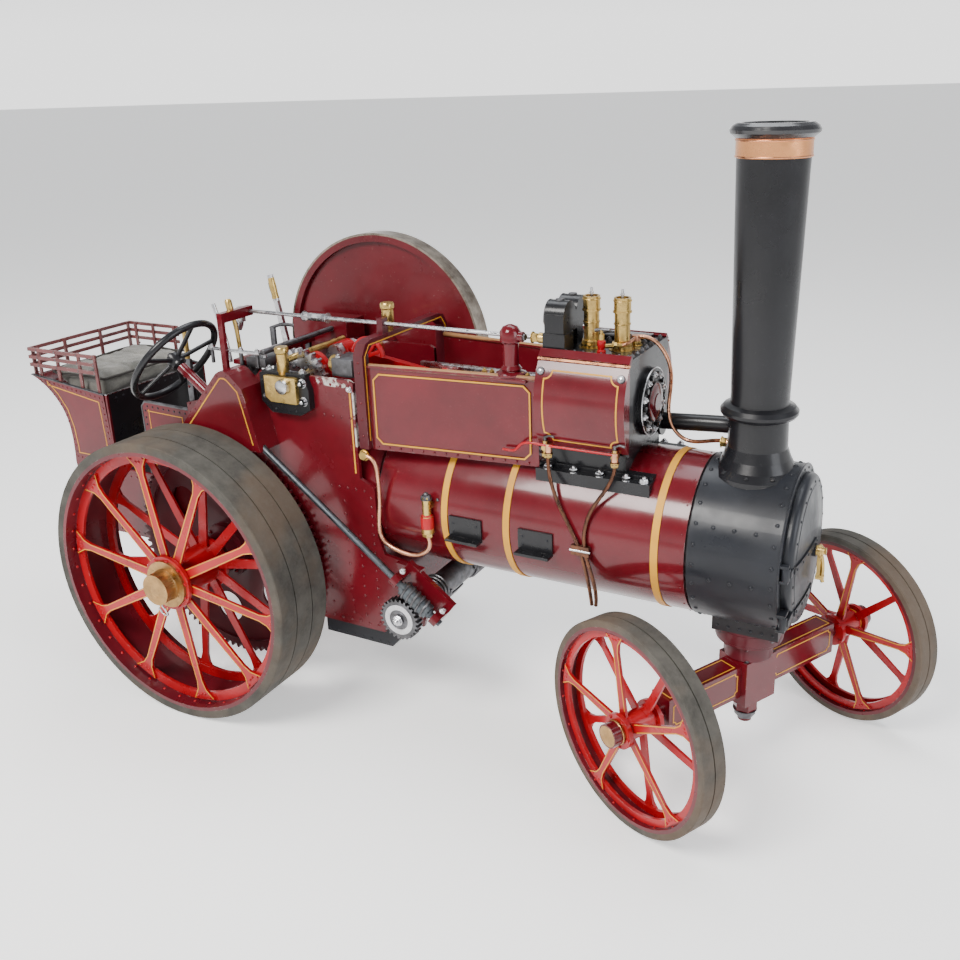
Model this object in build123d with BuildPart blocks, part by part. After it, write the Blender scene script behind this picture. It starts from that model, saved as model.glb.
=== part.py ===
"""Model road traction engine, three-inch scale. Millimetres, +X forward, +Y left, +Z up, ground at Z = 0."""

import os
from math import atan2, cos, degrees, hypot, pi, radians, sin, sqrt

from build123d import *

# ---- Driving dimensions -------------------------------------------------------------------------
REAR_X = -318.5            # rear axle in the part's frame; every x below is measured forward from it
WHEELBASE = 832.0
STEER = -28.0              # front axle angle at rest, turned to the right

REAR_R = 228.6             # rear tyre radius
REAR_RIM_R = 215.0
REAR_W = 106.0
REAR_Y = 219.5             # wheel mid-plane
AXLE_R = 14.0
FRONT_R = 145.7            # front tyre radius
FRONT_RIM_R = 136.5
FRONT_W = 39.0
FRONT_Y = 213.1
STUB_R = 10.0
GROOVE = 1.8               # width and depth of the grooves in the tyres

BOILER_Z = 348.5
BOILER_R = 104.0
CLAD_R = 110.5
SMOKE_R = 112.0
SMOKE_X0, SMOKE_X1 = 772.0, 890.0
FIREBOX_X0, FIREBOX_X1 = 150.0, 292.0
CHIMNEY_X = 829.0
FLUE_R = 30.0

HORN_Y0, HORN_Y1 = 110.0, 116.0    # inner and outer faces of the hornplates
CRANK_X, CRANK_Z = 158.0, 526.0
CRANK_R = 10.0
THROW = 28.0
CRANK_ANGLE = 60.0
ROD_LENGTH = 180.0
FLYWHEEL_R = 191.0
SECOND_R = 9.0
MODULE = 4.0
TEETH_CRANK, TEETH_SECOND, TEETH_PINION, TEETH_FINAL = 22, 44, 20, 92

CYL_X0, CYL_X1 = 550.0, 679.0
CYL_Y = 76.0
BORE_R = 30.0
VALVE_Y, VALVE_Z = -40.0, 550.0
REG_Y, REG_Z = -52.0, 614.0
LEVER_X0, LEVER_Z0 = -10.0, 430.0          # reversing lever pivot
LEVER_X1, LEVER_Z1 = -42.0, 600.0          # foot of its grip

BARREL_X, BARREL_Z = 350.0, 192.0          # chain barrel under the boiler
WHEEL_AT = (-42.0, -148.0, 551.0)          # steering wheel hub
COLUMN_ANGLE = 37.6
SHAFT_R = 5.0
WORM_T = 529.7                             # worm centre along the steering shaft

BRASS_R = 13.0                             # outside of the crankshaft and second shaft bearings
RUN = 0.3                                  # running gap between pieces that move on each other

# ---- Derived positions --------------------------------------------------------------------------
FINAL_GAP = MODULE * (TEETH_PINION + TEETH_FINAL) / 2
FIRST_GAP = MODULE * (TEETH_CRANK + TEETH_SECOND) / 2


def second_shaft_centre():
    """The second shaft stands at both gear centre distances, behind the crankshaft."""
    dx, dz = CRANK_X, CRANK_Z - REAR_R
    span = hypot(dx, dz)
    along = (FINAL_GAP**2 - FIRST_GAP**2 + span**2) / (2 * span)
    off = sqrt(FINAL_GAP**2 - along**2)
    ux, uz = dx / span, dz / span
    return along * ux - off * uz, REAR_R + along * uz + off * ux


SECOND_X, SECOND_Z = second_shaft_centre()
PIN_X = CRANK_X + THROW * cos(radians(CRANK_ANGLE))
PIN_Z = CRANK_Z + THROW * sin(radians(CRANK_ANGLE))
WRIST_X = PIN_X + sqrt(ROD_LENGTH**2 - (PIN_Z - CRANK_Z) ** 2)
ECC_X = CRANK_X + 8 * cos(radians(CRANK_ANGLE + 100))
ECC_Z = CRANK_Z + 8 * sin(radians(CRANK_ANGLE + 100))
STROKE_IN = WRIST_X - (CRANK_X + ROD_LENGTH - THROW)

os.makedirs("parts", exist_ok=True)


# ---- Planes and small builders ------------------------------------------------------------------
def side(y):
    """Vertical plane along the engine at one y; extrusions run towards -Y."""
    return Plane(origin=(REAR_X, y, 0), x_dir=(1, 0, 0), z_dir=(0, -1, 0))


def cross(x):
    """Vertical plane across the engine at one x; extrusions run forward."""
    return Plane(origin=(REAR_X + x, 0, 0), x_dir=(0, 1, 0), z_dir=(1, 0, 0))


def level(z):
    """Horizontal plane at one height; extrusions run up."""
    return Plane(origin=(REAR_X, 0, z), x_dir=(1, 0, 0), z_dir=(0, 0, 1))


def disc_on(plane, a, b, r, depth, mode=Mode.ADD):
    with BuildSketch(plane) as profile:
        with Locations((a, b)):
            Circle(r)
    extrude(profile.sketch, amount=depth, mode=mode)


def rod_y(x, z, r, y0, y1, mode=Mode.ADD):
    disc_on(side(y1), x, z, r, y1 - y0, mode)


def rod_x(y, z, r, x0, x1, mode=Mode.ADD):
    disc_on(cross(x0), y, z, r, x1 - x0, mode)


def rod_z(x, y, r, z0, z1, mode=Mode.ADD):
    disc_on(level(z0), x, y, r, z1 - z0, mode)


def block(x0, x1, y0, y1, z0, z1, mode=Mode.ADD):
    with BuildSketch(level(z0)) as profile:
        with Locations(((x0 + x1) / 2, (y0 + y1) / 2)):
            Rectangle(x1 - x0, y1 - y0)
    extrude(profile.sketch, amount=z1 - z0, mode=mode)


def outline_on(plane, points, depth, mode=Mode.ADD):
    with BuildSketch(plane) as profile:
        with BuildLine():
            Polyline(*points, close=True)
        make_face()
    extrude(profile.sketch, amount=depth, mode=mode)


def plate_y(points, y0, y1, mode=Mode.ADD):
    """Plate with an (x, z) outline between two y."""
    outline_on(side(y1), points, y1 - y0, mode)


def plate_x(points, x0, x1, mode=Mode.ADD):
    """Plate with a (y, z) outline between two x."""
    outline_on(cross(x0), points, x1 - x0, mode)


def pipe(points, r):
    """Round pipe through (x, y, z) points with softened bends."""
    with BuildLine() as route:
        Spline(*[(REAR_X + x, y, z) for x, y, z in points])
    with BuildSketch(Plane(origin=route.line @ 0, z_dir=route.line % 0)) as profile:
        Circle(r)
    sweep(profile.sketch, path=route.line)


def pair(s, a, b):
    """Two y values on the right (s = -1) or left (s = 1), in rising order."""
    return tuple(sorted((s * a, s * b)))


def gear_points(teeth, first_tooth):
    """Outline of a spur gear with room between the flanks; first_tooth in degrees."""
    pitch_r = MODULE * teeth / 2
    step = 2 * pi / teeth
    shape = ((-1.15 * MODULE, 0.30), (-0.45 * MODULE, 0.255), (0, 0.215), (0.80 * MODULE, 0.115))
    points = []
    for n in range(teeth):
        centre = radians(first_tooth) + n * step
        for dr, half in shape:
            angle = centre - half * step
            points.append(((pitch_r + dr) * cos(angle), (pitch_r + dr) * sin(angle)))
        for dr, half in reversed(shape):
            angle = centre + half * step
            points.append(((pitch_r + dr) * cos(angle), (pitch_r + dr) * sin(angle)))
    return points


def gear(x, z, teeth, first_tooth, y0, y1):
    points = [(x + a, z + b) for a, b in gear_points(teeth, first_tooth)]
    plate_y(points, y0, y1)


def bearing_angle(x0, z0, x1, z1):
    return degrees(atan2(z1 - z0, x1 - x0))


def spoked_wheel(rim_r, rim_t, width, tee_r, tee_z, spokes, hub_r, hub_len, hub_out, bore_r, bar):
    """Wheel about local Z, outer face up: rim, two tee rings, two sets of flared spokes and a hub."""
    with BuildPart() as wheel:
        with BuildSketch(Plane.XY.offset(-width / 2)):
            Circle(rim_r)
            Circle(rim_r - rim_t, mode=Mode.SUBTRACT)
        extrude(amount=width)
        for level_z, sign in ((tee_z, 1), (-tee_z, -1)):
            with BuildSketch(Plane.XY.offset(level_z - 2.5)):
                Circle(rim_r - rim_t + 0.5)
                Circle(tee_r, mode=Mode.SUBTRACT)
            extrude(amount=5)
            turn = 100 if sign > 0 else 100 + 180 / spokes
            reach = tee_r + (rim_r - rim_t - tee_r) * 0.7
            with BuildSketch(Plane.XY.offset(level_z + sign * 2 - (0 if sign > 0 else 4))):
                with PolarLocations(0, spokes, start_angle=turn):
                    Polygon(
                        (hub_r * 0.5, -bar),
                        (tee_r - bar * 2.4, -bar * 0.72),
                        (tee_r - bar * 0.7, -bar * 1.1),
                        (reach, -bar * 2.6),
                        (reach, bar * 2.6),
                        (tee_r - bar * 0.7, bar * 1.1),
                        (tee_r - bar * 2.4, bar * 0.72),
                        (hub_r * 0.5, bar),
                        align=None,
                    )
            extrude(amount=4)
        with BuildSketch(Plane.XY.offset(hub_out - hub_len)):
            Circle(hub_r * 0.74)
        extrude(amount=hub_len)
        for z0 in (hub_out - 6, hub_out - hub_len):
            with BuildSketch(Plane.XY.offset(z0)):
                Circle(hub_r)
            extrude(amount=6)
        with BuildSketch(Plane.XY.offset(hub_out - hub_len)):
            Circle(bore_r)
        extrude(amount=hub_len, mode=Mode.SUBTRACT)
    return wheel.part


def tyre(outer_r, inner_r, width, grooves):
    """Tyre about local Z with moulded grooves round the tread."""
    with BuildPart() as ring:
        with BuildSketch(Plane.XY.offset(-width / 2)):
            Circle(outer_r)
            Circle(inner_r, mode=Mode.SUBTRACT)
        extrude(amount=width)
        chamfer(ring.edges().filter_by(GeomType.CIRCLE).group_by(SortBy.RADIUS)[-1], length=1.6)
        for place in grooves:
            with BuildSketch(Plane.XY.offset(place - GROOVE / 2)):
                Circle(outer_r)
                Circle(outer_r - GROOVE, mode=Mode.SUBTRACT)
            extrude(amount=GROOVE, mode=Mode.SUBTRACT)
    return ring.part


def save(piece, label):
    piece.label = label
    export_step(piece, f"parts/{label}.step")


# ---- Boiler -------------------------------------------------------------------------------------
with BuildPart() as boiler_barrel:
    rod_x(0, BOILER_Z, BOILER_R, FIREBOX_X1, SMOKE_X0)
    rod_x(0, BOILER_Z, BOILER_R - 6, FIREBOX_X1, SMOKE_X0, Mode.SUBTRACT)
save(boiler_barrel.part, "boiler_barrel")

with BuildPart() as boiler_cladding:
    rod_x(0, BOILER_Z, CLAD_R, 297, 768)
    rod_x(0, BOILER_Z, BOILER_R, 297, 768, Mode.SUBTRACT)
save(boiler_cladding.part, "boiler_cladding")

BAND_R = CLAD_R + 1.5
with BuildPart() as boiler_bands:
    for x in (411, 511, 728):
        rod_x(0, BOILER_Z, BAND_R, x - 5, x + 5)
        rod_x(0, BOILER_Z, CLAD_R, x - 5, x + 5, Mode.SUBTRACT)
        rod_y(x, BOILER_Z - BAND_R - 1, 3.5, -8, 8)
    rod_x(0, BOILER_Z, CLAD_R, 400, 740, Mode.SUBTRACT)
save(boiler_bands.part, "boiler_bands")

TUBES = [(y, z) for z in (290, 320, 350, 380) for y in (-60, -30, 0, 30, 60)]
with BuildPart() as fire_tubes:
    rod_x(0, BOILER_Z, BOILER_R - 6, 760, 768)
    with BuildSketch(cross(FIREBOX_X1 - 16)):
        with Locations(*TUBES):
            Circle(7)
    extrude(amount=760 - FIREBOX_X1 + 24)
    with BuildSketch(cross(FIREBOX_X1 - 17)):
        with Locations(*TUBES):
            Circle(5.5)
    extrude(amount=800 - FIREBOX_X1, mode=Mode.SUBTRACT)
save(fire_tubes.part, "fire_tubes")

FIREHOLE_Z = 300.0
FIREHOLE_R = 29.0
with BuildPart() as firebox:
    rod_x(0, BOILER_Z, HORN_Y0, FIREBOX_X0, FIREBOX_X1)
    block(FIREBOX_X0, FIREBOX_X1, -HORN_Y0, HORN_Y0, 137, BOILER_Z)
    block(FIREBOX_X0 + 16, FIREBOX_X1 - 16, -90, 90, 137, 405, Mode.SUBTRACT)
    rod_x(0, FIREHOLE_Z, FIREHOLE_R, FIREBOX_X0, FIREBOX_X0 + 16, Mode.SUBTRACT)
    with BuildSketch(cross(FIREBOX_X1 - 17)):
        with Locations(*TUBES):
            Circle(7)
    extrude(amount=17, mode=Mode.SUBTRACT)
    rod_z(FIREBOX_X0 - 6, -40, 3, FIREHOLE_Z - 18, FIREHOLE_Z + 18)
    for z in (FIREHOLE_Z - 18, FIREHOLE_Z + 14):
        block(FIREBOX_X0 - 10, FIREBOX_X0, -44, -36, z, z + 4)
save(firebox.part, "firebox")

with BuildPart() as firehole_door:
    rod_x(0, FIREHOLE_Z, FIREHOLE_R + 4, FIREBOX_X0 - 5.3, FIREBOX_X0 - RUN)
    block(FIREBOX_X0 - 10, FIREBOX_X0 - 5.3, -40, -8, FIREHOLE_Z - 6, FIREHOLE_Z + 6)
    rod_z(FIREBOX_X0 - 6, -40, 5.5, FIREHOLE_Z - 13.5, FIREHOLE_Z + 13.5)
    rod_z(FIREBOX_X0 - 6, -40, 3.3, FIREHOLE_Z - 14, FIREHOLE_Z + 14, Mode.SUBTRACT)
    rod_x(20, FIREHOLE_Z, 4, FIREBOX_X0 - 17, FIREBOX_X0 - 5.3)
save(firehole_door.part, "firehole_door")

with BuildPart() as ashpan:
    plate_y([(169, 137), (169, 103), (296, 103), (312, 122), (292, 137)], -100, 100)
    plate_y([(172, 137), (172, 106), (293, 106), (303, 120), (288, 137)], -97, 97, Mode.SUBTRACT)
    for y in range(-80, 81, 16):
        block(168, 274, y - 3, y + 3, 137, 143)
    for x in (168, 268):
        block(x, x + 6, -100, 100, 131, 137)
save(ashpan.part, "ashpan")

# ---- Smokebox and chimney -----------------------------------------------------------------------
HINGE_X, HINGE_Y = 897.0, -106.0
HINGES = ((358, -103), (290, -91))      # height of each hinge and inner end of its lugs
DOOR_R = 101.0
with BuildPart() as smokebox:
    rod_x(0, BOILER_Z, SMOKE_R, SMOKE_X0, SMOKE_X1)
    rod_x(0, BOILER_Z, SMOKE_R - 6, SMOKE_X0 + 4, SMOKE_X1 - 6, Mode.SUBTRACT)
    rod_x(0, BOILER_Z, BOILER_R - 6, SMOKE_X0, SMOKE_X0 + 4, Mode.SUBTRACT)
    rod_x(0, BOILER_Z, 80, SMOKE_X1 - 6, SMOKE_X1, Mode.SUBTRACT)
    rod_z(CHIMNEY_X, 0, FLUE_R, 400, 470, Mode.SUBTRACT)
    for z, inner in HINGES:
        rod_z(HINGE_X, HINGE_Y, 2.5, z - 9, z + 9)
        for z0 in (z - 12, z + 8.5):
            block(SMOKE_X1 - 1, HINGE_X + 3.5, HINGE_Y - 4, inner, z0, z0 + 3.5)
save(smokebox.part, "smokebox")

with BuildPart() as smokebox_door:
    face = (REAR_X + SMOKE_X1 + RUN, 0, BOILER_Z)
    with BuildSketch(Plane(origin=face, x_dir=(0, 1, 0), z_dir=(0, 0, 1))):
        with BuildLine():
            Line((0, 0), (DOOR_R, 0))
            Line((DOOR_R, 0), (DOOR_R, -5))
            ThreePointArc((DOOR_R, -5), (DOOR_R - 2.5, -10.5), (DOOR_R - 8, -13))
            ThreePointArc((DOOR_R - 8, -13), (50, -17.5), (0, -19))
            Line((0, -19), (0, 0))
        make_face()
    revolve(axis=Axis((REAR_X, 0, BOILER_Z), (1, 0, 0)))
    for z, _ in HINGES:
        rod_z(HINGE_X, HINGE_Y, 4.5, z - 8, z + 8)
        block(HINGE_X - 5.5, HINGE_X + 2, HINGE_Y + 2, -70, z - 5, z + 5)
        rod_z(HINGE_X, HINGE_Y, 2.5 + RUN, z - 9, z + 9, Mode.SUBTRACT)
    rod_x(0, BOILER_Z, 9, 906, 914)
    rod_x(0, BOILER_Z, 3.3, 896, 920, Mode.SUBTRACT)
save(smokebox_door.part, "smokebox_door")

with BuildPart() as door_handle:
    rod_x(0, BOILER_Z, 3, 898, 926)
    rod_x(0, BOILER_Z, 7, 914.3, 922)
    block(916, 921, -3.5, 3.5, BOILER_Z - 38, BOILER_Z)
    rod_x(0, BOILER_Z - 38, 4, 915, 926)
save(door_handle.part, "door_handle")

CHIMNEY_PROFILE = [
    (FLUE_R, 436), (60, 436), (60, 450), (50, 458), (44, 470), (39, 484), (38, 522), (47, 526), (50, 530),
    (50, 534), (46, 539), (37.5, 542), (37.5, 556), (44, 848), (37, 848), (37, 838), (FLUE_R, 830),
]
with BuildPart() as chimney:
    with BuildSketch(Plane(origin=(REAR_X + CHIMNEY_X, 0, 0), x_dir=(1, 0, 0), z_dir=(0, -1, 0))):
        with BuildLine():
            Polyline(*CHIMNEY_PROFILE, close=True)
        make_face()
    revolve(axis=Axis((REAR_X + CHIMNEY_X, 0, 0), (0, 0, 1)))
    rod_x(0, BOILER_Z, SMOKE_R, 700, 960, Mode.SUBTRACT)
save(chimney.part, "chimney")

CAP_PROFILE = [
    (37, 848), (45.5, 848), (45.5, 870), (49, 873), (52.5, 876), (53.5, 880), (51, 884.5), (45, 888),
    (39, 888), (37, 885),
]
with BuildPart() as chimney_cap:
    with BuildSketch(Plane(origin=(REAR_X + CHIMNEY_X, 0, 0), x_dir=(1, 0, 0), z_dir=(0, -1, 0))):
        with BuildLine():
            Polyline(*CAP_PROFILE, close=True)
        make_face()
    revolve(axis=Axis((REAR_X + CHIMNEY_X, 0, 0), (0, 0, 1)))
save(chimney_cap.part, "chimney_cap")

# ---- Hornplates and motion frame ----------------------------------------------------------------
HORN = [
    (-62, 470), (-62, 205), (-40, 176), (60, 176), (150, 137), (295, 137), (295, 158), (368, 164),
    (378, 200), (372, 262), (305, 272), (295, 300), (295, 378), (270, 390), (270, 537), (262, 541),
    (100, 541), (60, 505),
]


def hornplate(s):
    y0, y1 = pair(s, HORN_Y0, HORN_Y1)
    with BuildPart() as plate:
        plate_y(HORN, y0, y1)
        rod_y(0, REAR_R, 24, y0, y1, Mode.SUBTRACT)
        rod_y(SECOND_X, SECOND_Z, BRASS_R, y0, y1, Mode.SUBTRACT)
        rod_y(CRANK_X, CRANK_Z, BRASS_R, y0, y1, Mode.SUBTRACT)
        rod_y(BARREL_X, BARREL_Z, 8 + RUN, y0, y1, Mode.SUBTRACT)
        if s < 0:
            block(24, 34, -HORN_Y1, -HORN_Y0, 480, 622)
            block(24, 34, -HORN_Y1, REG_Y + 7, REG_Z - 7, 622)
            rod_x(REG_Y, REG_Z, 3 + RUN, 20, 40, Mode.SUBTRACT)
        else:
            rod_y(LEVER_X0, LEVER_Z0, 5, 96, HORN_Y0)
    return plate.part


save(hornplate(-1), "hornplate_right")
save(hornplate(1), "hornplate_left")

HOOP_X0, HOOP_X1 = 276.0, 292.0
HOOP = [(-118, 440), (-118, 580), (-108, 596), (-94, 600), (94, 600), (108, 596), (118, 580), (118, 440)]
HOOP_IN = [(-108, 430), (-108, 578), (-92, 591), (92, 591), (108, 578), (108, 430)]
with BuildPart() as spectacle_plate:
    plate_x(HOOP, HOOP_X0, HOOP_X1)
    plate_x(HOOP_IN, HOOP_X0, HOOP_X1, Mode.SUBTRACT)
    block(279, 289, REG_Y - 7, REG_Y + 7, 600, 622)
    rod_x(REG_Y, REG_Z, 3 + RUN, 270, 300, Mode.SUBTRACT)
save(spectacle_plate.part, "spectacle_plate")

with BuildPart() as motion_plates:
    for s in (-1, 1):
        run_x = CYL_X0 - 292
        run_y = s * (CYL_Y + 3 - 108)
        away = Vector(run_x, run_y, 0).normalized()
        base = Plane(origin=(REAR_X + 292, s * 106, 0), x_dir=away, z_dir=away.cross(Vector(0, 0, 1)))
        length = hypot(run_x, run_y) - 1
        outline_on(base, [(0, 438), (length, 438), (length, 562), (0, 562)], -2 * s)
        outline_on(base, [(0, 562), (length, 562), (length, 565), (0, 565)], -5 * s)
        outline_on(base, [(0, 562), (length, 562), (length, 565), (0, 565)], 3 * s)
save(motion_plates.part, "motion_plates")

with BuildPart() as slide_bars:
    for s in (-1, 1):
        y0, y1 = pair(s, 20 + RUN, 28)
        block(300, CYL_X0, y0, y1, 512, 540)
        y0, y1 = pair(s, 20 + RUN, 103.9)
        block(300, 310, y0, y1, 500, 514)
save(slide_bars.part, "slide_bars")

# ---- Cylinder -----------------------------------------------------------------------------------
with BuildPart() as cylinder_block:
    plate_x([(-CYL_Y, 470), (CYL_Y, 470), (CYL_Y, 590), (66, 600), (-66, 600), (-CYL_Y, 590)], CYL_X0, CYL_X1)
    block(560, 672, -66, 66, 430, 470)
    block(546, 711, -84, 84, 400, 438)
    block(546, 711, -70, 70, 438, 444)
    for x in (562, 600, 638, 676):
        for y in (-77, 77):
            rod_z(x, y, 6, 438, 442)
    rod_x(0, BOILER_Z, CLAD_R, 540, 720, Mode.SUBTRACT)
    rod_x(0, CRANK_Z, 20, CYL_X0 - 12, CYL_X0)
    rod_x(0, CRANK_Z, BORE_R, 562, CYL_X1, Mode.SUBTRACT)
    rod_x(0, CRANK_Z, 6 + RUN, CYL_X0 - 12, 562, Mode.SUBTRACT)
    block(575, 660, -68, VALVE_Y + 6, 535, 565, Mode.SUBTRACT)
    rod_x(VALVE_Y, VALVE_Z, 4 + RUN, CYL_X0, 580, Mode.SUBTRACT)
save(cylinder_block.part, "cylinder_block")

with BuildPart() as cylinder_cover:
    rod_x(0, CRANK_Z, 46, CYL_X1, CYL_X1 + 6)
    rod_x(0, CRANK_Z, 28, CYL_X1 + 6, CYL_X1 + 10)
    rod_x(0, CRANK_Z, BORE_R, CYL_X1 - 8, CYL_X1)
    with BuildSketch(cross(CYL_X1 + 6)):
        with Locations((0, CRANK_Z)):
            with PolarLocations(38, 10):
                RegularPolygon(4, 6)
    extrude(amount=4)
save(cylinder_cover.part, "cylinder_cover")

with BuildPart() as cylinder_cladding:
    for s in (-1, 1):
        with BuildSketch(cross(CYL_X0)):
            with BuildLine():
                Line((s * CYL_Y, 474), (s * CYL_Y, 588))
                Line((s * CYL_Y, 588), (s * (CYL_Y - 10), 602))
                Line((s * (CYL_Y - 10), 602), (s * (CYL_Y - 8), 604))
                Line((s * (CYL_Y - 8), 604), (s * (CYL_Y + 2), 590))
                ThreePointArc((s * (CYL_Y + 2), 590), (s * (CYL_Y + 20), 532), (s * (CYL_Y + 3), 474))
                Line((s * (CYL_Y + 3), 474), (s * CYL_Y, 474))
            make_face()
        extrude(amount=CYL_X1 - CYL_X0)
    plate_x([(-66, 600), (-CYL_Y, 590), (-CYL_Y, 588), (CYL_Y, 588), (CYL_Y, 590), (66, 600)], 540, 700,
            Mode.SUBTRACT)
save(cylinder_cladding.part, "cylinder_cladding")

with BuildPart() as safety_valves:
    for x in (602, 646):
        rod_z(x, -18, 14, 600, 606)
        rod_z(x, -18, 10.5, 606, 660)
        rod_z(x, -18, 11.5, 652, 670)
        rod_z(x, -18, 8.5, 664, 670, Mode.SUBTRACT)
        rod_z(x, -18, 1.5, 660, 680)
save(safety_valves.part, "safety_valves")

with BuildPart() as lubricator:
    block(553, 581, -64, 20, 624, 650)
    block(551, 583, -66, -36, 600, 624)
    block(558, 578, -12, 8, 600, 624)
    for y in (-43, -1):
        rod_x(y, 646, 20, 553, 581)
    rod_x(REG_Y, REG_Z, 3 + RUN, 545, 575, Mode.SUBTRACT)
save(lubricator.part, "lubricator")

# ---- Crankshaft bearings and gear guard ---------------------------------------------------------
BRACKET = [(108, 541), (108, 498), (126, 481), (180, 481), (198, 492), (198, 522), (190, 541)]
with BuildPart() as crank_brackets:
    plate_y(BRACKET, -128, -HORN_Y1)
    plate_y(BRACKET, HORN_Y1, 120)
    rod_y(CRANK_X, CRANK_Z, BRASS_R, -128, 120, Mode.SUBTRACT)
    for x, z in ((188, 532), (188, 504)):
        with BuildSketch(side(-128)):
            with Locations((x, z)):
                RegularPolygon(6, 6)
        extrude(amount=5)
save(crank_brackets.part, "crank_brackets")

with BuildPart() as bearing_brasses:
    rod_y(CRANK_X, CRANK_Z, BRASS_R, -128, -104)
    plate_y([(122, 540), (122, 507), (132, 500), (180, 500), (180, 540)], -135, -128)
    rod_y(CRANK_X, CRANK_Z, BRASS_R, 104, 121)
    rod_y(CRANK_X, CRANK_Z, CRANK_R + RUN, -140, 130, Mode.SUBTRACT)
    for s in (-1, 1):
        y0, y1 = pair(s, 100, 116)
        rod_y(0, REAR_R, 24, y0, y1)
        rod_y(SECOND_X, SECOND_Z, BRASS_R, y0, y1)
    rod_y(0, REAR_R, AXLE_R + RUN, -120, 120, Mode.SUBTRACT)
    rod_y(SECOND_X, SECOND_Z, SECOND_R + RUN, -120, 120, Mode.SUBTRACT)
save(bearing_brasses.part, "bearing_brasses")

COLUMN = Vector(cos(radians(COLUMN_ANGLE)), 0, -sin(radians(COLUMN_ANGLE)))
HUB = Vector(REAR_X + WHEEL_AT[0], WHEEL_AT[1], WHEEL_AT[2])


def column_plane(t):
    """Plane across the steering shaft at a distance t below the wheel hub."""
    return Plane(origin=HUB + COLUMN * t, x_dir=(0, 1, 0), z_dir=COLUMN)


def rod_t(r, t0, t1, mode=Mode.ADD):
    disc_on(column_plane(t0), 0, 0, r, t1 - t0, mode)


GUARD = [
    (-34, 425), (-29, 453), (50, 541), (57, 545), (69, 545), (77, 541), (98, 522), (105, 495), (122, 425),
]
GUARD_IN = [
    (-31, 420), (-26, 451), (52, 537), (58, 542), (68, 542), (75, 538), (95, 520), (102, 494), (119, 420),
]
with BuildPart() as guards:
    plate_y(GUARD, -160, -116)
    plate_y(GUARD_IN, -157, -110, Mode.SUBTRACT)
    rod_t(8, 16, 150)
    rod_t(SHAFT_R + 0.6, 0, 320, Mode.SUBTRACT)
    block(20, 130, 66, HORN_Y1, 541, 580)
    block(23, 127, 69, HORN_Y1 - 3, 530, 577, Mode.SUBTRACT)
    rod_y(CRANK_X, CRANK_Z, 34, 60, 120, Mode.SUBTRACT)
save(guards.part, "guards")

with BuildPart() as oil_cups:
    for x, y, z in ((150, -122, 541), (284, -36, 600)):
        rod_z(x, y, 3, z, z + 12)
        rod_z(x, y, 7, z + 12, z + 36)
        rod_z(x, y, 8.5, z + 34, z + 40)
save(oil_cups.part, "oil_cups")

# ---- Tender -------------------------------------------------------------------------------------
TENDER = [(-300, 205), (-62, 205), (-62, 326), (-251, 326), (-251, 380), (-255, 459), (-428, 478)]
with BuildPart() as tender_body:
    with BuildSketch(side(116)):
        with BuildLine():
            Polyline(*TENDER)
            Spline((-428, 478), (-385, 452), (-357, 412), (-350, 370), (-352, 327))
            Polyline((-352, 327), (-340, 240), (-300, 205))
        make_face()
    extrude(amount=232)
    with BuildSketch(side(112)):
        with BuildLine():
            Polyline((-346, 340), (-255, 340), (-251, 380), (-251, 500), (-428, 500), (-422, 478))
            Spline((-422, 478), (-380, 450), (-353, 410), (-346, 370), (-346, 340))
        make_face()
    extrude(amount=224, mode=Mode.SUBTRACT)
    block(-296, -66, -112, 112, 209, 322, Mode.SUBTRACT)
    block(-345, -262, -112, 112, 440, 444)
    block(-392, -338, -24, 24, 232, 250)
    rod_z(-374, 0, 6, 225, 255, Mode.SUBTRACT)
save(tender_body.part, "tender_body")

with BuildPart() as footplate:
    block(-251, -62, -116, 116, 326, 330)
    block(-251, -247, -116, 116, 330, 461)
    for s in (-1, 1):
        y0, y1 = pair(s, 112, 116)
        plate_y([(-164, 330), (-164, 452), (-158, 459), (-62, 456), (-62, 330)], y0, y1)
save(footplate.part, "footplate")

with BuildPart() as tender_rails:
    for z in (497, 511, 525):
        for s in (-1, 1):
            y0, y1 = pair(s, 112, 115)
            x1 = -262 if s < 0 else -300
            block(-427, x1, y0, y1, z - 3, z + 3)
        block(-430, -427, -115, 115, z - 3, z + 3)
    for s in (-1, 1):
        y0, y1 = pair(s, 109, 112)
        for x, z0 in ((-408, 474), (-362, 456), (-308, 450), (-268, 450)):
            if s < 0 or x < -300:
                block(x - 3, x + 3, y0, y1, z0, 528)
    for y in (-108, -40, 40, 108):
        block(-427, -424, y - 3, y + 3, 478, 528)
save(tender_rails.part, "tender_rails")

with BuildPart() as seat_cushion:
    plate_y([(-260, 446), (-340, 446), (-368, 460), (-406, 480), (-406, 496), (-260, 492)], -104, 104)
save(seat_cushion.part, "seat_cushion")

# ---- Drive --------------------------------------------------------------------------------------
with BuildPart() as rear_axle:
    rod_y(0, REAR_R, AXLE_R, -284, 284)
save(rear_axle.part, "rear_axle")

REAR_ARGS = (REAR_RIM_R, 6.0, REAR_W, 193.0, 30.5, 10, 44.0, 88.0, 44.0, AXLE_R, 8.5)
rear_shape = spoked_wheel(*REAR_ARGS)
rear_tread = tyre(REAR_R, REAR_RIM_R, REAR_W, (-18.0, 18.0))
for s, name in ((-1, "right"), (1, "left")):
    seat = Plane(origin=(REAR_X, s * REAR_Y, REAR_R), x_dir=(1, 0, 0), z_dir=(0, s, 0))
    save(seat.location * rear_shape, f"rear_wheel_{name}")
    save(seat.location * rear_tread, f"rear_tyre_{name}")

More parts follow.
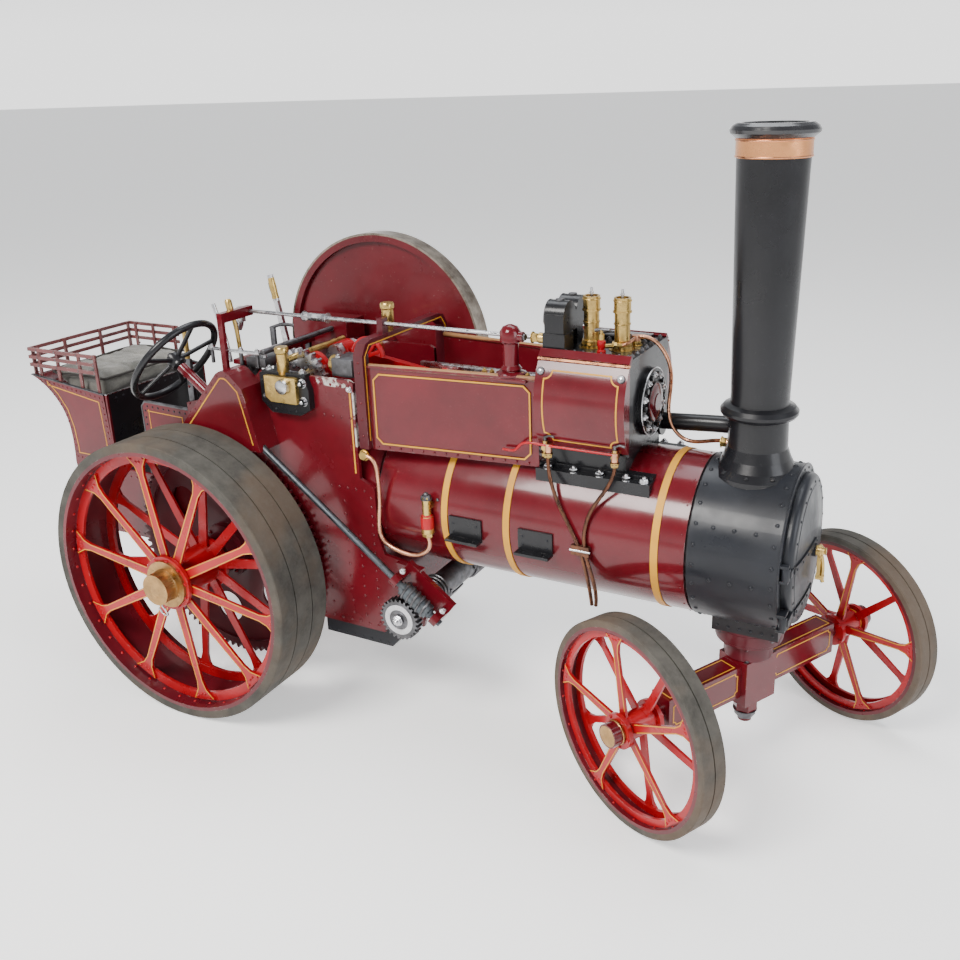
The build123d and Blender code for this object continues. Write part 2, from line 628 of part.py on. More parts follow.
with BuildPart() as rear_hub_caps:
    for s in (-1, 1):
        y0, y1 = pair(s, 263.5, 268)
        rod_y(0, REAR_R, 38, y0, y1)
        y0, y1 = pair(s, 268, 289)
        rod_y(0, REAR_R, 25, y0, y1)
    rod_y(0, REAR_R, AXLE_R, -284, 284, Mode.SUBTRACT)
save(rear_hub_caps.part, "rear_hub_caps")

TO_SECOND = bearing_angle(0, REAR_R, SECOND_X, SECOND_Z)
TO_CRANK = bearing_angle(SECOND_X, SECOND_Z, CRANK_X, CRANK_Z)
with BuildPart() as final_gear:
    gear(0, REAR_R, TEETH_FINAL, TO_SECOND, -129, -119)
    rod_y(0, REAR_R, 168, -129, -126, Mode.SUBTRACT)
    rod_y(0, REAR_R, 168, -122, -119, Mode.SUBTRACT)
    with BuildSketch(side(-118)):
        with Locations((0, REAR_R)):
            with PolarLocations(112, 6, start_angle=22):
                Circle(27)
    extrude(amount=12, mode=Mode.SUBTRACT)
    rod_y(0, REAR_R, 46, -140, -119)
    rod_y(0, REAR_R, 34, -160, -140)
    rod_y(0, REAR_R, 25, -172, -160)
    rod_y(0, REAR_R, AXLE_R, -175, -110, Mode.SUBTRACT)
save(final_gear.part, "final_gear")

with BuildPart() as second_shaft:
    rod_y(SECOND_X, SECOND_Z, SECOND_R, -139, 118)
    gear(SECOND_X, SECOND_Z, TEETH_PINION, TO_SECOND + 180 + 180 / TEETH_PINION, -130, -119)
    gear(SECOND_X, SECOND_Z, TEETH_SECOND, TO_CRANK, -93, -83)
    rod_y(SECOND_X, SECOND_Z, 70, -93, -90, Mode.SUBTRACT)
    rod_y(SECOND_X, SECOND_Z, 70, -86, -83, Mode.SUBTRACT)
    rod_y(SECOND_X, SECOND_Z, 18, -98, -78)
save(second_shaft.part, "second_shaft")


def web(y0, y1):
    """Crank web: two round ends joined by a bar."""
    rod_y(CRANK_X, CRANK_Z, 16, y0, y1)
    rod_y(PIN_X, PIN_Z, 15, y0, y1)
    ux, uz = cos(radians(CRANK_ANGLE)), sin(radians(CRANK_ANGLE))
    a = (CRANK_X - 14 * uz, CRANK_Z + 14 * ux)
    b = (PIN_X - 14 * uz, PIN_Z + 14 * ux)
    c = (PIN_X + 14 * uz, PIN_Z - 14 * ux)
    d = (CRANK_X + 14 * uz, CRANK_Z - 14 * ux)
    plate_y([a, b, c, d], y0, y1)


with BuildPart() as crankshaft:
    rod_y(CRANK_X, CRANK_Z, CRANK_R, -141, -14)
    rod_y(CRANK_X, CRANK_Z, CRANK_R, 14, 162)
    rod_y(PIN_X, PIN_Z, 9, -24, 24)
    web(-24, -14)
    web(14, 24)
    rod_y(ECC_X, ECC_Z, 24, -56, -44)
    gear(CRANK_X, CRANK_Z, TEETH_CRANK, TO_CRANK + 180 + 180 / TEETH_CRANK, -94, -82)
save(crankshaft.part, "crankshaft")

with BuildPart() as flywheel:
    rod_y(CRANK_X, CRANK_Z, FLYWHEEL_R, 124, 156)
    rod_y(CRANK_X, CRANK_Z, FLYWHEEL_R - 14, 124, 132, Mode.SUBTRACT)
    rod_y(CRANK_X, CRANK_Z, FLYWHEEL_R - 14, 148, 156, Mode.SUBTRACT)
    rod_y(CRANK_X, CRANK_Z, 30, 124, 158)
    rod_y(CRANK_X, CRANK_Z, CRANK_R, 120, 160, Mode.SUBTRACT)
save(flywheel.part, "flywheel")

with BuildPart() as connecting_rod:
    rod_y(PIN_X, PIN_Z, 17, -12, 12)
    rod_y(WRIST_X, CRANK_Z, 11, -12, 12)
    tilt = atan2(CRANK_Z - PIN_Z, WRIST_X - PIN_X)
    nx, nz = -sin(tilt), cos(tilt)
    bar = [
        (PIN_X + 9 * nx, PIN_Z + 9 * nz),
        (WRIST_X + 6 * nx, CRANK_Z + 6 * nz),
        (WRIST_X - 6 * nx, CRANK_Z - 6 * nz),
        (PIN_X - 9 * nx, PIN_Z - 9 * nz),
    ]
    plate_y(bar, -6, 6)
    rod_y(PIN_X, PIN_Z, 9 + RUN, -14, 14, Mode.SUBTRACT)
    rod_y(WRIST_X, CRANK_Z, 5, -13.5, 13.5)
save(connecting_rod.part, "connecting_rod")

PISTON_X = 585 + STROKE_IN
with BuildPart() as crosshead:
    for s in (-1, 1):
        y0, y1 = pair(s, 14, 20)
        block(WRIST_X - 12, WRIST_X + 84, y0, y1, CRANK_Z - 13, CRANK_Z + 13)
    block(WRIST_X + 72, WRIST_X + 84, -20, 20, CRANK_Z - 13, CRANK_Z + 13)
    rod_x(0, CRANK_Z, 6, WRIST_X + 84, PISTON_X)
    rod_x(0, CRANK_Z, BORE_R - RUN, PISTON_X - 9, PISTON_X + 9)
save(crosshead.part, "crosshead")

EYE_X = 468.0
with BuildPart() as eccentric_rod:
    rod_y(ECC_X, ECC_Z, 31, -55, -46)
    tilt = atan2(VALVE_Z - ECC_Z, EYE_X - ECC_X)
    nx, nz = -sin(tilt), cos(tilt)
    bar = [
        (ECC_X + 9 * nx, ECC_Z + 9 * nz),
        (EYE_X + 4 * nx, VALVE_Z + 4 * nz),
        (EYE_X - 4 * nx, VALVE_Z - 4 * nz),
        (ECC_X - 9 * nx, ECC_Z - 9 * nz),
    ]
    plate_y(bar, -54, -48)
    rod_y(EYE_X, VALVE_Z, 8, -55, -47)
    rod_y(ECC_X, ECC_Z, 24 + RUN, -60, -40, Mode.SUBTRACT)
save(eccentric_rod.part, "eccentric_rod")

with BuildPart() as slide_valve:
    rod_x(VALVE_Y, VALVE_Z, 4, 470, 640)
    block(EYE_X - 12, EYE_X + 12, VALVE_Y - 5, VALVE_Y + 5, VALVE_Z - 8, VALVE_Z + 8)
    block(602, 632, VALVE_Y - 9, VALVE_Y + 5, VALVE_Z - 9, VALVE_Z + 9)
save(slide_valve.part, "slide_valve")

with BuildPart() as regulator_rod:
    rod_x(REG_Y, REG_Z, 3, 16, 560)
    with BuildSketch(cross(150)):
        with Locations((REG_Y, REG_Z)):
            RegularPolygon(6, 6)
    extrude(amount=28)
    block(10, 20, REG_Y - 4, REG_Y + 4, REG_Z - 18, REG_Z + 6)
save(regulator_rod.part, "regulator_rod")

with BuildPart() as reversing_lever:
    rod_y(LEVER_X0, LEVER_Z0, 12, 97, 104)
    plate_y(
        [
            (LEVER_X0 - 8, LEVER_Z0),
            (LEVER_X1 - 4, LEVER_Z1),
            (LEVER_X1 + 4, LEVER_Z1),
            (LEVER_X0 + 8, LEVER_Z0),
        ],
        97,
        104,
    )
    lean = Vector(LEVER_X1 - LEVER_X0, 0, LEVER_Z1 - LEVER_Z0).normalized()
    top = Plane(origin=(REAR_X + LEVER_X1, 100.5, LEVER_Z1 - 4), x_dir=(0, 1, 0), z_dir=lean)
    disc_on(top, 0, 0, 5.5, 46)
    rod_y(LEVER_X0, LEVER_Z0, 5 + RUN, 90, 110, Mode.SUBTRACT)
save(reversing_lever.part, "reversing_lever")

# ---- Steering -----------------------------------------------------------------------------------
with BuildPart() as steering_wheel:
    with BuildSketch(Plane(origin=HUB + COLUMN * 2, x_dir=(0, 1, 0), z_dir=COLUMN.cross(Vector(0, 1, 0)))):
        with Locations((76, 0)):
            Circle(5.5)
    revolve(axis=Axis(HUB + COLUMN * 2, COLUMN))
    rod_t(12, -6, 12)
    for n in range(5):
        angle = radians(90 + 72 * n)
        out = Vector(0, 1, 0) * cos(angle) + COLUMN.cross(Vector(0, 1, 0)) * sin(angle)
        disc_on(Plane(origin=HUB + COLUMN * 2 + out * 8, z_dir=out), 0, 0, 3.4, 66)
    rod_t(SHAFT_R, -10, 20, Mode.SUBTRACT)
save(steering_wheel.part, "steering_wheel")

with BuildPart() as steering_shaft:
    rod_t(SHAFT_R, -6, 580)
    rod_t(11.8, WORM_T - 26, WORM_T + 26)
    rod_t(8, WORM_T - 30, WORM_T + 30)
save(steering_shaft.part, "steering_shaft")


def column_block(t0, t1, y0, y1, n0, n1, mode=Mode.ADD):
    """Box lying along the steering shaft: t along it, n above it."""
    with BuildSketch(Plane(origin=HUB + COLUMN * t0, x_dir=(0, 1, 0), z_dir=COLUMN)) as profile:
        a, b = y0 - WHEEL_AT[1], y1 - WHEEL_AT[1]
        with BuildLine():
            Polyline((a, n0), (b, n0), (b, n1), (a, n1), close=True)
        make_face()
    extrude(profile.sketch, amount=t1 - t0, mode=mode)


with BuildPart() as steering_bracket:
    for t0, t1 in ((482, 494), (564, 576)):
        rod_t(10, t0, t1)
        column_block(t0, t1, WHEEL_AT[1], -122, -8, 8)
    column_block(482, 576, -124, -HORN_Y1, -12, 22)
    plate_y([(330, 268), (372, 262), (376, 215), (345, 225)], -124, -116)
    rod_t(SHAFT_R + RUN, 470, 590, Mode.SUBTRACT)
save(steering_bracket.part, "steering_bracket")

WORM_TEETH = 26
with BuildPart() as chain_barrel:
    rod_y(BARREL_X, BARREL_Z, 8, -158, 120)
    rod_y(BARREL_X, BARREL_Z, 20, -100, 100)
    for s in (-1, 1):
        y0, y1 = pair(s, 100, 104)
        rod_y(BARREL_X, BARREL_Z, 27, y0, y1)
    step = 2 * pi / WORM_TEETH
    ring = []
    for n in range(WORM_TEETH):
        for half, r in ((-0.28, 29), (-0.14, 33), (0.14, 33), (0.28, 29)):
            ring.append((BARREL_X + r * cos((n + half) * step), BARREL_Z + r * sin((n + half) * step)))
    plate_y(ring, -155, -141)
    rod_y(BARREL_X, BARREL_Z, 14, -141, -128)
save(chain_barrel.part, "chain_barrel")

with BuildPart() as perch_bracket:
    block(791, 881, -46, 46, 226, 250)
    rod_x(0, BOILER_Z, SMOKE_R, 780, 900, Mode.SUBTRACT)
    rod_z(WHEELBASE, 0, 46, 204, 226)
    rod_z(WHEELBASE, 0, 34, 178, 204)
    rod_z(WHEELBASE, 0, STUB_R + RUN, 170, 224, Mode.SUBTRACT)
save(perch_bracket.part, "perch_bracket")

FRONT = Plane(
    origin=(REAR_X + WHEELBASE, 0, 0),
    x_dir=(cos(radians(STEER)), sin(radians(STEER)), 0),
    z_dir=(0, 0, 1),
)


def front_side(y):
    """Plane square to the front axle at one distance along it; extrusions run towards its right."""
    return Plane(origin=FRONT.from_local_coords((0, y, 0)), x_dir=FRONT.x_dir, z_dir=-FRONT.y_dir)


def front_rod(r, y0, y1, mode=Mode.ADD):
    disc_on(front_side(y1), 0, FRONT_R, r, y1 - y0, mode)


with BuildPart() as front_axle:
    outline_on(front_side(166), [(-17, 122), (17, 122), (17, 170), (-17, 170)], 332)
    outline_on(front_side(30), [(-26, 108), (26, 108), (26, 177), (-26, 177)], 60)
    front_rod(STUB_R, -250, 250)
    rod_z(WHEELBASE, 0, STUB_R, 67, 222)
    with BuildSketch(level(84)):
        with Locations((WHEELBASE, 0)):
            RegularPolygon(17, 6)
    extrude(amount=14)
    for s in (-1, 1):
        y0, y1 = pair(s, 241, 257.7)
        front_rod(16, y0, y1)
save(front_axle.part, "front_axle")

FRONT_ARGS = (FRONT_RIM_R, 5.0, FRONT_W, 121.0, 10.0, 5, 24.0, 59.0, 27.0, STUB_R + RUN, 6.5)
front_shape = spoked_wheel(*FRONT_ARGS)
front_tread = tyre(FRONT_R, FRONT_RIM_R, FRONT_W, (0.0,))
for s, name in ((-1, "right"), (1, "left")):
    middle = FRONT.from_local_coords((0, s * FRONT_Y, FRONT_R))
    seat = Plane(origin=middle, x_dir=FRONT.x_dir, z_dir=FRONT.y_dir * s)
    save(seat.location * front_shape, f"front_wheel_{name}")
    save(seat.location * front_tread, f"front_tyre_{name}")

# ---- Pipes and boiler fittings ------------------------------------------------------------------
with BuildPart() as copper_pipes:
    for x, turn in ((568, 1), (664, -1)):
        pipe([(x, -88, 468), (x + 3 * turn, -94, 440), (614 + (x - 614) * 0.5, -107, 400),
              (627 - 5 * turn, -116, 350), (641 - 4 * turn, -118, 305), (646 - 3 * turn, -116, 264)], 2.6)
        rod_z(x, -88, 5, 462, 478)
        rod_y(x, 472, 4, -88, -80)
    block(614, 640, -120, -113.5, 336, 350)
    rod_z(655, 10, 6, 600, 614)
    pipe([(655, 10, 611), (680, 14, 607), (694, 18, 590), (696, 38, 530), (698, 42, 482), (716, 43, 463),
          (748, 38, 465), (780, 22, 474)], 2.8)
    rod_x(20, 474, 5, 776, 788)
    pipe([(386, -118, 318.4), (386, -119, 300), (372, -120, 288), (335, -121, 287), (308, -121, 300),
          (305, -121, 350), (306, -121, 400), (300, -121, 425), (286, -121, 431)], 3.2)
    rod_y(284, 431, 6, -124, -116)
save(copper_pipes.part, "copper_pipes")

with BuildPart() as clack_valve:
    rod_z(386, -118, 9, 326, 352)
    rod_z(386, -118, 6.5, 319, 382)
    rod_y(386, 366, 6.5, -118, -105)
    rod_x(0, BOILER_Z, CLAD_R, 340, 430, Mode.SUBTRACT)
    rod_z(386, -118, 2, 382, 386)
save(clack_valve.part, "clack_valve")

with BuildPart() as boiler_brackets:
    for x in (446, 557):
        block(x - 26, x + 26, -114, -110, 322, 356)
        block(x - 26, x + 26, -128, -110, 322, 326)
        for dx in (-16, 16):
            rod_z(x + dx, -121, 2.5, 320, 330, Mode.SUBTRACT)
    rod_x(0, BOILER_Z, CLAD_R, 400, 600, Mode.SUBTRACT)
save(boiler_brackets.part, "boiler_brackets")
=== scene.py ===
"""Looks for the model road traction engine: paint, metal, rivets, lining, pipes and fittings."""

from math import atan2, cos, hypot, pi, radians, sin, sqrt

import bmesh
import bpy
from mathutils import Matrix, Vector


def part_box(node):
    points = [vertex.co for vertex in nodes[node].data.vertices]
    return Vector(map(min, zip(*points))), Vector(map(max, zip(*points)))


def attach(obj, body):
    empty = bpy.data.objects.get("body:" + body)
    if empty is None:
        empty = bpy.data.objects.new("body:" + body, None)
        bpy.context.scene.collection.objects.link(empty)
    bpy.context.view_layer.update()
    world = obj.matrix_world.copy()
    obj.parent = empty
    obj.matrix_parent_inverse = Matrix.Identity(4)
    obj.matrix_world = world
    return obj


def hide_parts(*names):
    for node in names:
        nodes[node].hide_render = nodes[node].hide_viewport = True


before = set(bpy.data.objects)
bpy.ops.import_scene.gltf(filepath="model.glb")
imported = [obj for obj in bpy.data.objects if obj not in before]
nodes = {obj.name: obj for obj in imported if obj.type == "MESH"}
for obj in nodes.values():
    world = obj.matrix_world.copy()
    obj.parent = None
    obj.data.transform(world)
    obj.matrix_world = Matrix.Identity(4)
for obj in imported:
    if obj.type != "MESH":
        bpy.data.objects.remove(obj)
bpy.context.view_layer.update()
MM = 0.001


def centre(node):
    low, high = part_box(node)
    return (low + high) / 2


REAR = centre("rear_axle")                 # rear axle centre
RX = REAR.x
BOILER_Z = centre("boiler_barrel").z
BARREL_Z = 348.5                           # these four are in millimetres: boiler and smokebox centre
SHAFT_Z = 526                              # crankshaft and cylinder centre
CHIMNEY_X = 829
FRONT_AXLE_Z = 145.7
CRANK = Vector((RX + 158 * MM, 0, SHAFT_Z * MM))
STEER = radians(-28.0)
KING = Vector((RX + 832 * MM, 0, 0))


def at(x, y, z):
    """A point given in millimetres, x forward from the rear axle."""
    return Vector((RX + x * MM, y * MM, z * MM))


def at_front(x, y, z):
    """A point in millimetres on the turned front axle: x ahead, y left along the axle."""
    return KING + Vector((x * cos(STEER) - y * sin(STEER), x * sin(STEER) + y * cos(STEER), z)) * MM


# ---- Materials ----------------------------------------------------------------------------------
class Shader:
    """One Principled material with small helpers for its nodes."""

    def __init__(self, name, color, rough, metal=0.0, coat=0.0, spec=0.5):
        self.mat = bpy.data.materials.new(name)
        self.mat.use_nodes = True
        self.tree = self.mat.node_tree
        self.p = self.tree.nodes["Principled BSDF"]
        self.p.inputs["Base Color"].default_value = (*color, 1)
        self.p.inputs["Roughness"].default_value = rough
        self.p.inputs["Metallic"].default_value = metal
        self.p.inputs["Coat Weight"].default_value = coat
        self.p.inputs["Coat Roughness"].default_value = 0.08
        self.p.inputs["Specular IOR Level"].default_value = spec
        self.where = self.node("ShaderNodeTexCoord").outputs["Object"]

    def node(self, kind, **values):
        made = self.tree.nodes.new(kind)
        for key, value in values.items():
            setattr(made, key, value)
        return made

    def link(self, a, b):
        self.tree.links.new(a, b)

    def noise(self, scale, detail=4.0, rough=0.55, stretch=None):
        made = self.node("ShaderNodeTexNoise")
        made.inputs["Scale"].default_value = scale
        made.inputs["Detail"].default_value = detail
        made.inputs["Roughness"].default_value = rough
        source = self.where
        if stretch:
            mapping = self.node("ShaderNodeMapping")
            mapping.inputs["Scale"].default_value = stretch
            self.link(source, mapping.inputs["Vector"])
            source = mapping.outputs["Vector"]
        self.link(source, made.inputs["Vector"])
        return made.outputs["Fac"]

    def ramp(self, source, *stops):
        made = self.node("ShaderNodeValToRGB")
        self.link(source, made.inputs["Fac"])
        ramp = made.color_ramp
        while len(ramp.elements) < len(stops):
            ramp.elements.new(0.5)
        for element, (place, color) in zip(ramp.elements, stops):
            element.position = place
            element.color = (*color, 1) if len(color) == 3 else color
        return made.outputs["Color"]

    def math(self, operation, a, b=0.0, c=0.0, clamp=False):
        made = self.node("ShaderNodeMath", operation=operation, use_clamp=clamp)
        for slot, value in zip(made.inputs, (a, b, c)):
            if isinstance(value, (int, float)):
                slot.default_value = value
            else:
                self.link(value, slot)
        return made.outputs[0]

    def mix(self, factor, a, b, blend="MIX"):
        made = self.node("ShaderNodeMix", data_type="RGBA", blend_type=blend)
        for slot, value in ((made.inputs[0], factor), (made.inputs[6], a), (made.inputs[7], b)):
            if isinstance(value, (int, float)):
                slot.default_value = value
            elif isinstance(value, tuple):
                slot.default_value = (*value, 1)
            else:
                self.link(value, slot)
        return made.outputs[2]

    def axis(self, which):
        made = self.node("ShaderNodeSeparateXYZ")
        self.link(self.where, made.inputs[0])
        return made.outputs[which]

    def color(self, output):
        self.link(output, self.p.inputs["Base Color"])
        return self

    def rough(self, source, low, high):
        self.link(self.ramp(source, (0.3, (low,) * 3), (0.7, (high,) * 3)), self.p.inputs["Roughness"])
        return self

    def bump(self, source, distance, strength=1.0):
        made = self.node("ShaderNodeBump")
        made.inputs["Distance"].default_value = distance
        made.inputs["Strength"].default_value = strength
        self.link(source, made.inputs["Height"])
        if self.p.inputs["Normal"].is_linked:
            self.link(self.p.inputs["Normal"].links[0].from_socket, made.inputs["Normal"])
        self.link(made.outputs["Normal"], self.p.inputs["Normal"])
        return self

    def edges(self):
        """How far the bevelled normal leans off the true one: bright at worn edges and corners."""
        bevel = self.node("ShaderNodeBevel", samples=4)
        bevel.inputs["Radius"].default_value = 1.2 * MM
        geometry = self.node("ShaderNodeNewGeometry")
        dot = self.node("ShaderNodeVectorMath", operation="DOT_PRODUCT")
        self.link(bevel.outputs["Normal"], dot.inputs[0])
        self.link(geometry.outputs["Normal"], dot.inputs[1])
        return self.math("SUBTRACT", 1.0, dot.outputs["Value"])


def chips(s, scale=70, low=0.52, high=0.66):
    """1 on ragged spots along worn edges."""
    return s.math("MULTIPLY", s.edges(), s.ramp(s.noise(scale, 6, 0.7), (low, (0, 0, 0)), (high, (1, 1, 1))))


def paint(name, color, dark, rough=0.28, coat=0.5, wear=0.35, bare=(0.30, 0.28, 0.27), spec=0.3):
    """Brushed gloss paint: cloudy tone, faint orange peel, dust and chips on the edges."""
    s = Shader(name, color, rough, coat=coat, spec=spec)
    cloud = s.ramp(s.noise(9, 5, 0.6), (0.30, dark), (0.62, color))
    specks = s.ramp(s.noise(260, 3, 0.7), (0.62, (0, 0, 0)), (0.74, (1, 1, 1)))
    dusty = s.mix(s.math("MULTIPLY", specks, 0.16), cloud, tuple(min(1, c * 1.6 + 0.05) for c in color))
    if wear:
        chipped = s.math("MULTIPLY", chips(s), wear * 9, clamp=True)
        dusty = s.mix(chipped, dusty, bare)
    s.color(dusty)
    s.rough(s.noise(14, 4, 0.6), rough * 0.75, min(0.9, rough * 1.5))
    s.bump(s.noise(420, 2, 0.5), 0.05 * MM, 0.35)
    s.bump(s.noise(24, 3, 0.5), 0.25 * MM, 0.3)
    return s.mat


def metal(name, color, rough, grime, amount=0.5, scale=60):
    s = Shader(name, color, rough, metal=1.0)
    stain = s.ramp(s.noise(scale, 6, 0.65), (0.40, (0, 0, 0)), (0.66, (1, 1, 1)))
    s.color(s.mix(s.math("MULTIPLY", stain, amount), color, grime))
    s.rough(s.noise(scale * 1.7, 4, 0.6), rough * 0.7, min(0.8, rough * 1.9))
    s.bump(s.noise(scale * 9, 3, 0.6), 0.06 * MM, 0.4)
    return s.mat


def wheel_paint(name, axle, plane_y, rim_inner):
    """Red wheel paint, with the inside of the rim painted dark maroon as painted shade: told apart by
    distance from the axle line.
    """
    s = Shader(name, (0.38, 0.004, 0.009), 0.3, coat=0.15, spec=0.3)
    red = s.ramp(s.noise(11, 5, 0.6), (0.3, (0.24, 0.003, 0.006)), (0.65, (0.38, 0.004, 0.009)))
    offset = s.node("ShaderNodeVectorMath", operation="SUBTRACT")
    s.link(s.where, offset.inputs[0])
    offset.inputs[1].default_value = tuple(axle)
    along = s.node("ShaderNodeVectorMath", operation="DOT_PRODUCT")
    s.link(offset.outputs[0], along.inputs[0])
    along.inputs[1].default_value = tuple(plane_y)
    scaled = s.node("ShaderNodeVectorMath", operation="SCALE")
    scaled.inputs[0].default_value = tuple(plane_y)
    s.link(along.outputs["Value"], scaled.inputs["Scale"])
    radial = s.node("ShaderNodeVectorMath", operation="SUBTRACT")
    s.link(offset.outputs[0], radial.inputs[0])
    s.link(scaled.outputs[0], radial.inputs[1])
    length = s.node("ShaderNodeVectorMath", operation="LENGTH")
    s.link(radial.outputs[0], length.inputs[0])
    # past rim_inner the rim gets painted shade: dark maroon in place of the red
    rim = s.math("GREATER_THAN", length.outputs["Value"], rim_inner)
    body = s.mix(rim, red, s.ramp(s.noise(8, 4), (0.3, (0.05, 0.004, 0.008)), (0.7, (0.13, 0.008, 0.014))))
    worn = chips(s, 60, 0.54, 0.68)
    s.color(s.mix(s.math("MULTIPLY", worn, 2.2, clamp=True), body, (0.5, 0.46, 0.42)))
    s.rough(s.noise(14, 4, 0.6), 0.22, 0.42)
    s.bump(s.noise(300, 2, 0.5), 0.05 * MM, 0.35)
    return s.mat


def rubber(name, tone, grooves, middle, axis_dir):
    """Worn tyre rubber: dusty tone, fine grit, moulded grooves round the tread, darkened almost to black as
    painted shade.
    """
    s = Shader(name, tone, 0.8, spec=0.3)
    dust = s.ramp(
        s.noise(30, 6, 0.65), (0.32, tuple(c * 0.62 for c in tone)), (0.68, tuple(c * 1.35 for c in tone)),
    )
    patches = s.ramp(s.noise(5, 4, 0.6), (0.46, (0, 0, 0)), (0.60, (1, 1, 1)))
    dust = s.mix(s.math("MULTIPLY", patches, 0.55), dust, (tone[0] * 1.9, tone[1] * 1.35, tone[2] * 1.0))
    scuff = s.ramp(s.noise(150, 5, 0.7), (0.45, (0, 0, 0)), (0.75, (1, 1, 1)))
    dust = s.mix(s.math("MULTIPLY", scuff, 0.22), dust, tuple(min(1, c * 2.0) for c in tone))
    offset = s.node("ShaderNodeVectorMath", operation="SUBTRACT")
    s.link(s.where, offset.inputs[0])
    offset.inputs[1].default_value = tuple(middle)
    along = s.node("ShaderNodeVectorMath", operation="DOT_PRODUCT")
    s.link(offset.outputs[0], along.inputs[0])
    along.inputs[1].default_value = tuple(axis_dir)
    groove_and_shade = None
    for place in grooves:
        near = s.math("ABSOLUTE", s.math("SUBTRACT", along.outputs["Value"], place))
        line = s.math("LESS_THAN", near, 0.9 * MM)
        groove_and_shade = line if groove_and_shade is None else s.math("MAXIMUM", groove_and_shade, line)
    # the grooves are darkened almost to black: painted shade in the grooves; the bump gives their shape
    if groove_and_shade is not None:
        dust = s.mix(s.math("MULTIPLY", groove_and_shade, 0.85), dust, (0.012, 0.010, 0.009))
        s.bump(s.math("SUBTRACT", 1.0, groove_and_shade), 1.2 * MM, 0.8)
    s.color(dust)
    s.bump(s.noise(500, 4, 0.7), 0.25 * MM, 0.6)
    return s.mat


def above(s, axis, limit):
    """1 where the object's own coordinate on that axis is over the limit, with a narrow soft edge."""
    return s.math("MULTIPLY", s.math("SUBTRACT", s.axis(axis), limit), 4000, clamp=True)


def two_paints(name, low, high, axis, limit, rough):
    """Painted part that changes colour at a plane, such as a black bracket on a maroon turntable."""
    s = Shader(name, low, rough, coat=0.12, spec=0.3)
    clouds = s.noise(9, 5, 0.6)
    a = s.ramp(clouds, (0.3, tuple(c * 0.65 for c in low)), (0.65, low))
    b = s.ramp(clouds, (0.3, tuple(c * 0.65 for c in high)), (0.65, high))
    worn = chips(s)
    both = s.mix(above(s, axis, limit), a, b)
    s.color(s.mix(s.math("MULTIPLY", worn, 2.4, clamp=True), both, (0.22, 0.20, 0.19)))
    s.rough(s.noise(14, 4, 0.6), rough * 0.8, rough * 1.4)
    s.bump(s.noise(420, 2, 0.5), 0.05 * MM, 0.35)
    s.bump(s.noise(24, 3, 0.5), 0.25 * MM, 0.3)
    return s.mat


def cap_finish():
    """Polished copper band with a black painted lip above it."""
    s = Shader("chimney_cap_finish", (0.8, 0.35, 0.14), 0.16, metal=1.0, coat=0.2)
    lip = above(s, 2, 0.8705)
    stain = s.ramp(s.noise(40, 6, 0.65), (0.42, (0, 0, 0)), (0.68, (1, 1, 1)))
    bright = s.mix(s.math("MULTIPLY", stain, 0.5), (0.84, 0.37, 0.15), (0.38, 0.15, 0.07))
    s.color(s.mix(lip, bright, (0.014, 0.014, 0.016)))
    s.link(s.math("SUBTRACT", 1.0, lip), s.p.inputs["Metallic"])
    s.rough(s.noise(80, 4, 0.6), 0.12, 0.34)
    s.bump(s.noise(300, 3, 0.6), 0.06 * MM, 0.4)
    return s.mat


def footplate_finish():
    """Black floor and front plate between maroon side sheets, told apart by distance from the middle."""
    s = Shader("footplate_finish", (0.012, 0.012, 0.014), 0.34, coat=0.1, spec=0.3)
    side = s.math("GREATER_THAN", s.math("ABSOLUTE", s.axis(1)), 111.8 * MM)
    clouds = s.noise(9, 5, 0.6)
    plate = s.ramp(clouds, (0.3, (0.006, 0.006, 0.007)), (0.65, (0.013, 0.013, 0.015)))
    sheet = s.ramp(clouds, (0.3, (0.072, 0.0022, 0.0052)), (0.62, (0.112, 0.0042, 0.0092)))
    worn = chips(s)
    s.color(s.mix(s.math("MULTIPLY", worn, 2.4, clamp=True), s.mix(side, plate, sheet), (0.22, 0.20, 0.19)))
    s.rough(s.noise(14, 4, 0.6), 0.22, 0.42)
    s.bump(s.noise(420, 2, 0.5), 0.05 * MM, 0.35)
    return s.mat


def hornplate_finish():
    """Maroon plate with pale filler showing where the paint has chipped off its top and front edges."""
    s = Shader("hornplate_finish", (0.112, 0.0042, 0.0092), 0.22, coat=0.2, spec=0.3)
    sheet = s.ramp(s.noise(9, 5, 0.6), (0.30, (0.072, 0.0022, 0.0052)), (0.62, (0.112, 0.0042, 0.0092)))
    behind = above(s, 0, RX + 204 * MM)
    top = s.math("MULTIPLY", above(s, 2, 529 * MM), behind)
    front = s.math("MULTIPLY", above(s, 0, RX + 267 * MM), above(s, 2, 440 * MM))
    ragged = s.ramp(s.noise(55, 6, 0.75), (0.47, (0, 0, 0)), (0.53, (1, 1, 1)))
    flaked = s.math("MULTIPLY", s.math("MAXIMUM", top, front), ragged)
    s.color(
        s.mix(flaked, sheet, s.ramp(s.noise(90, 4), (0.3, (0.34, 0.30, 0.27)), (0.7, (0.60, 0.56, 0.52)))),
    )
    s.rough(s.noise(14, 4, 0.6), 0.16, 0.32)
    s.bump(s.noise(24, 3, 0.5), 0.25 * MM, 0.3)
    s.bump(s.math("SUBTRACT", 1.0, flaked), 0.4 * MM, 0.6)
    return s.mat


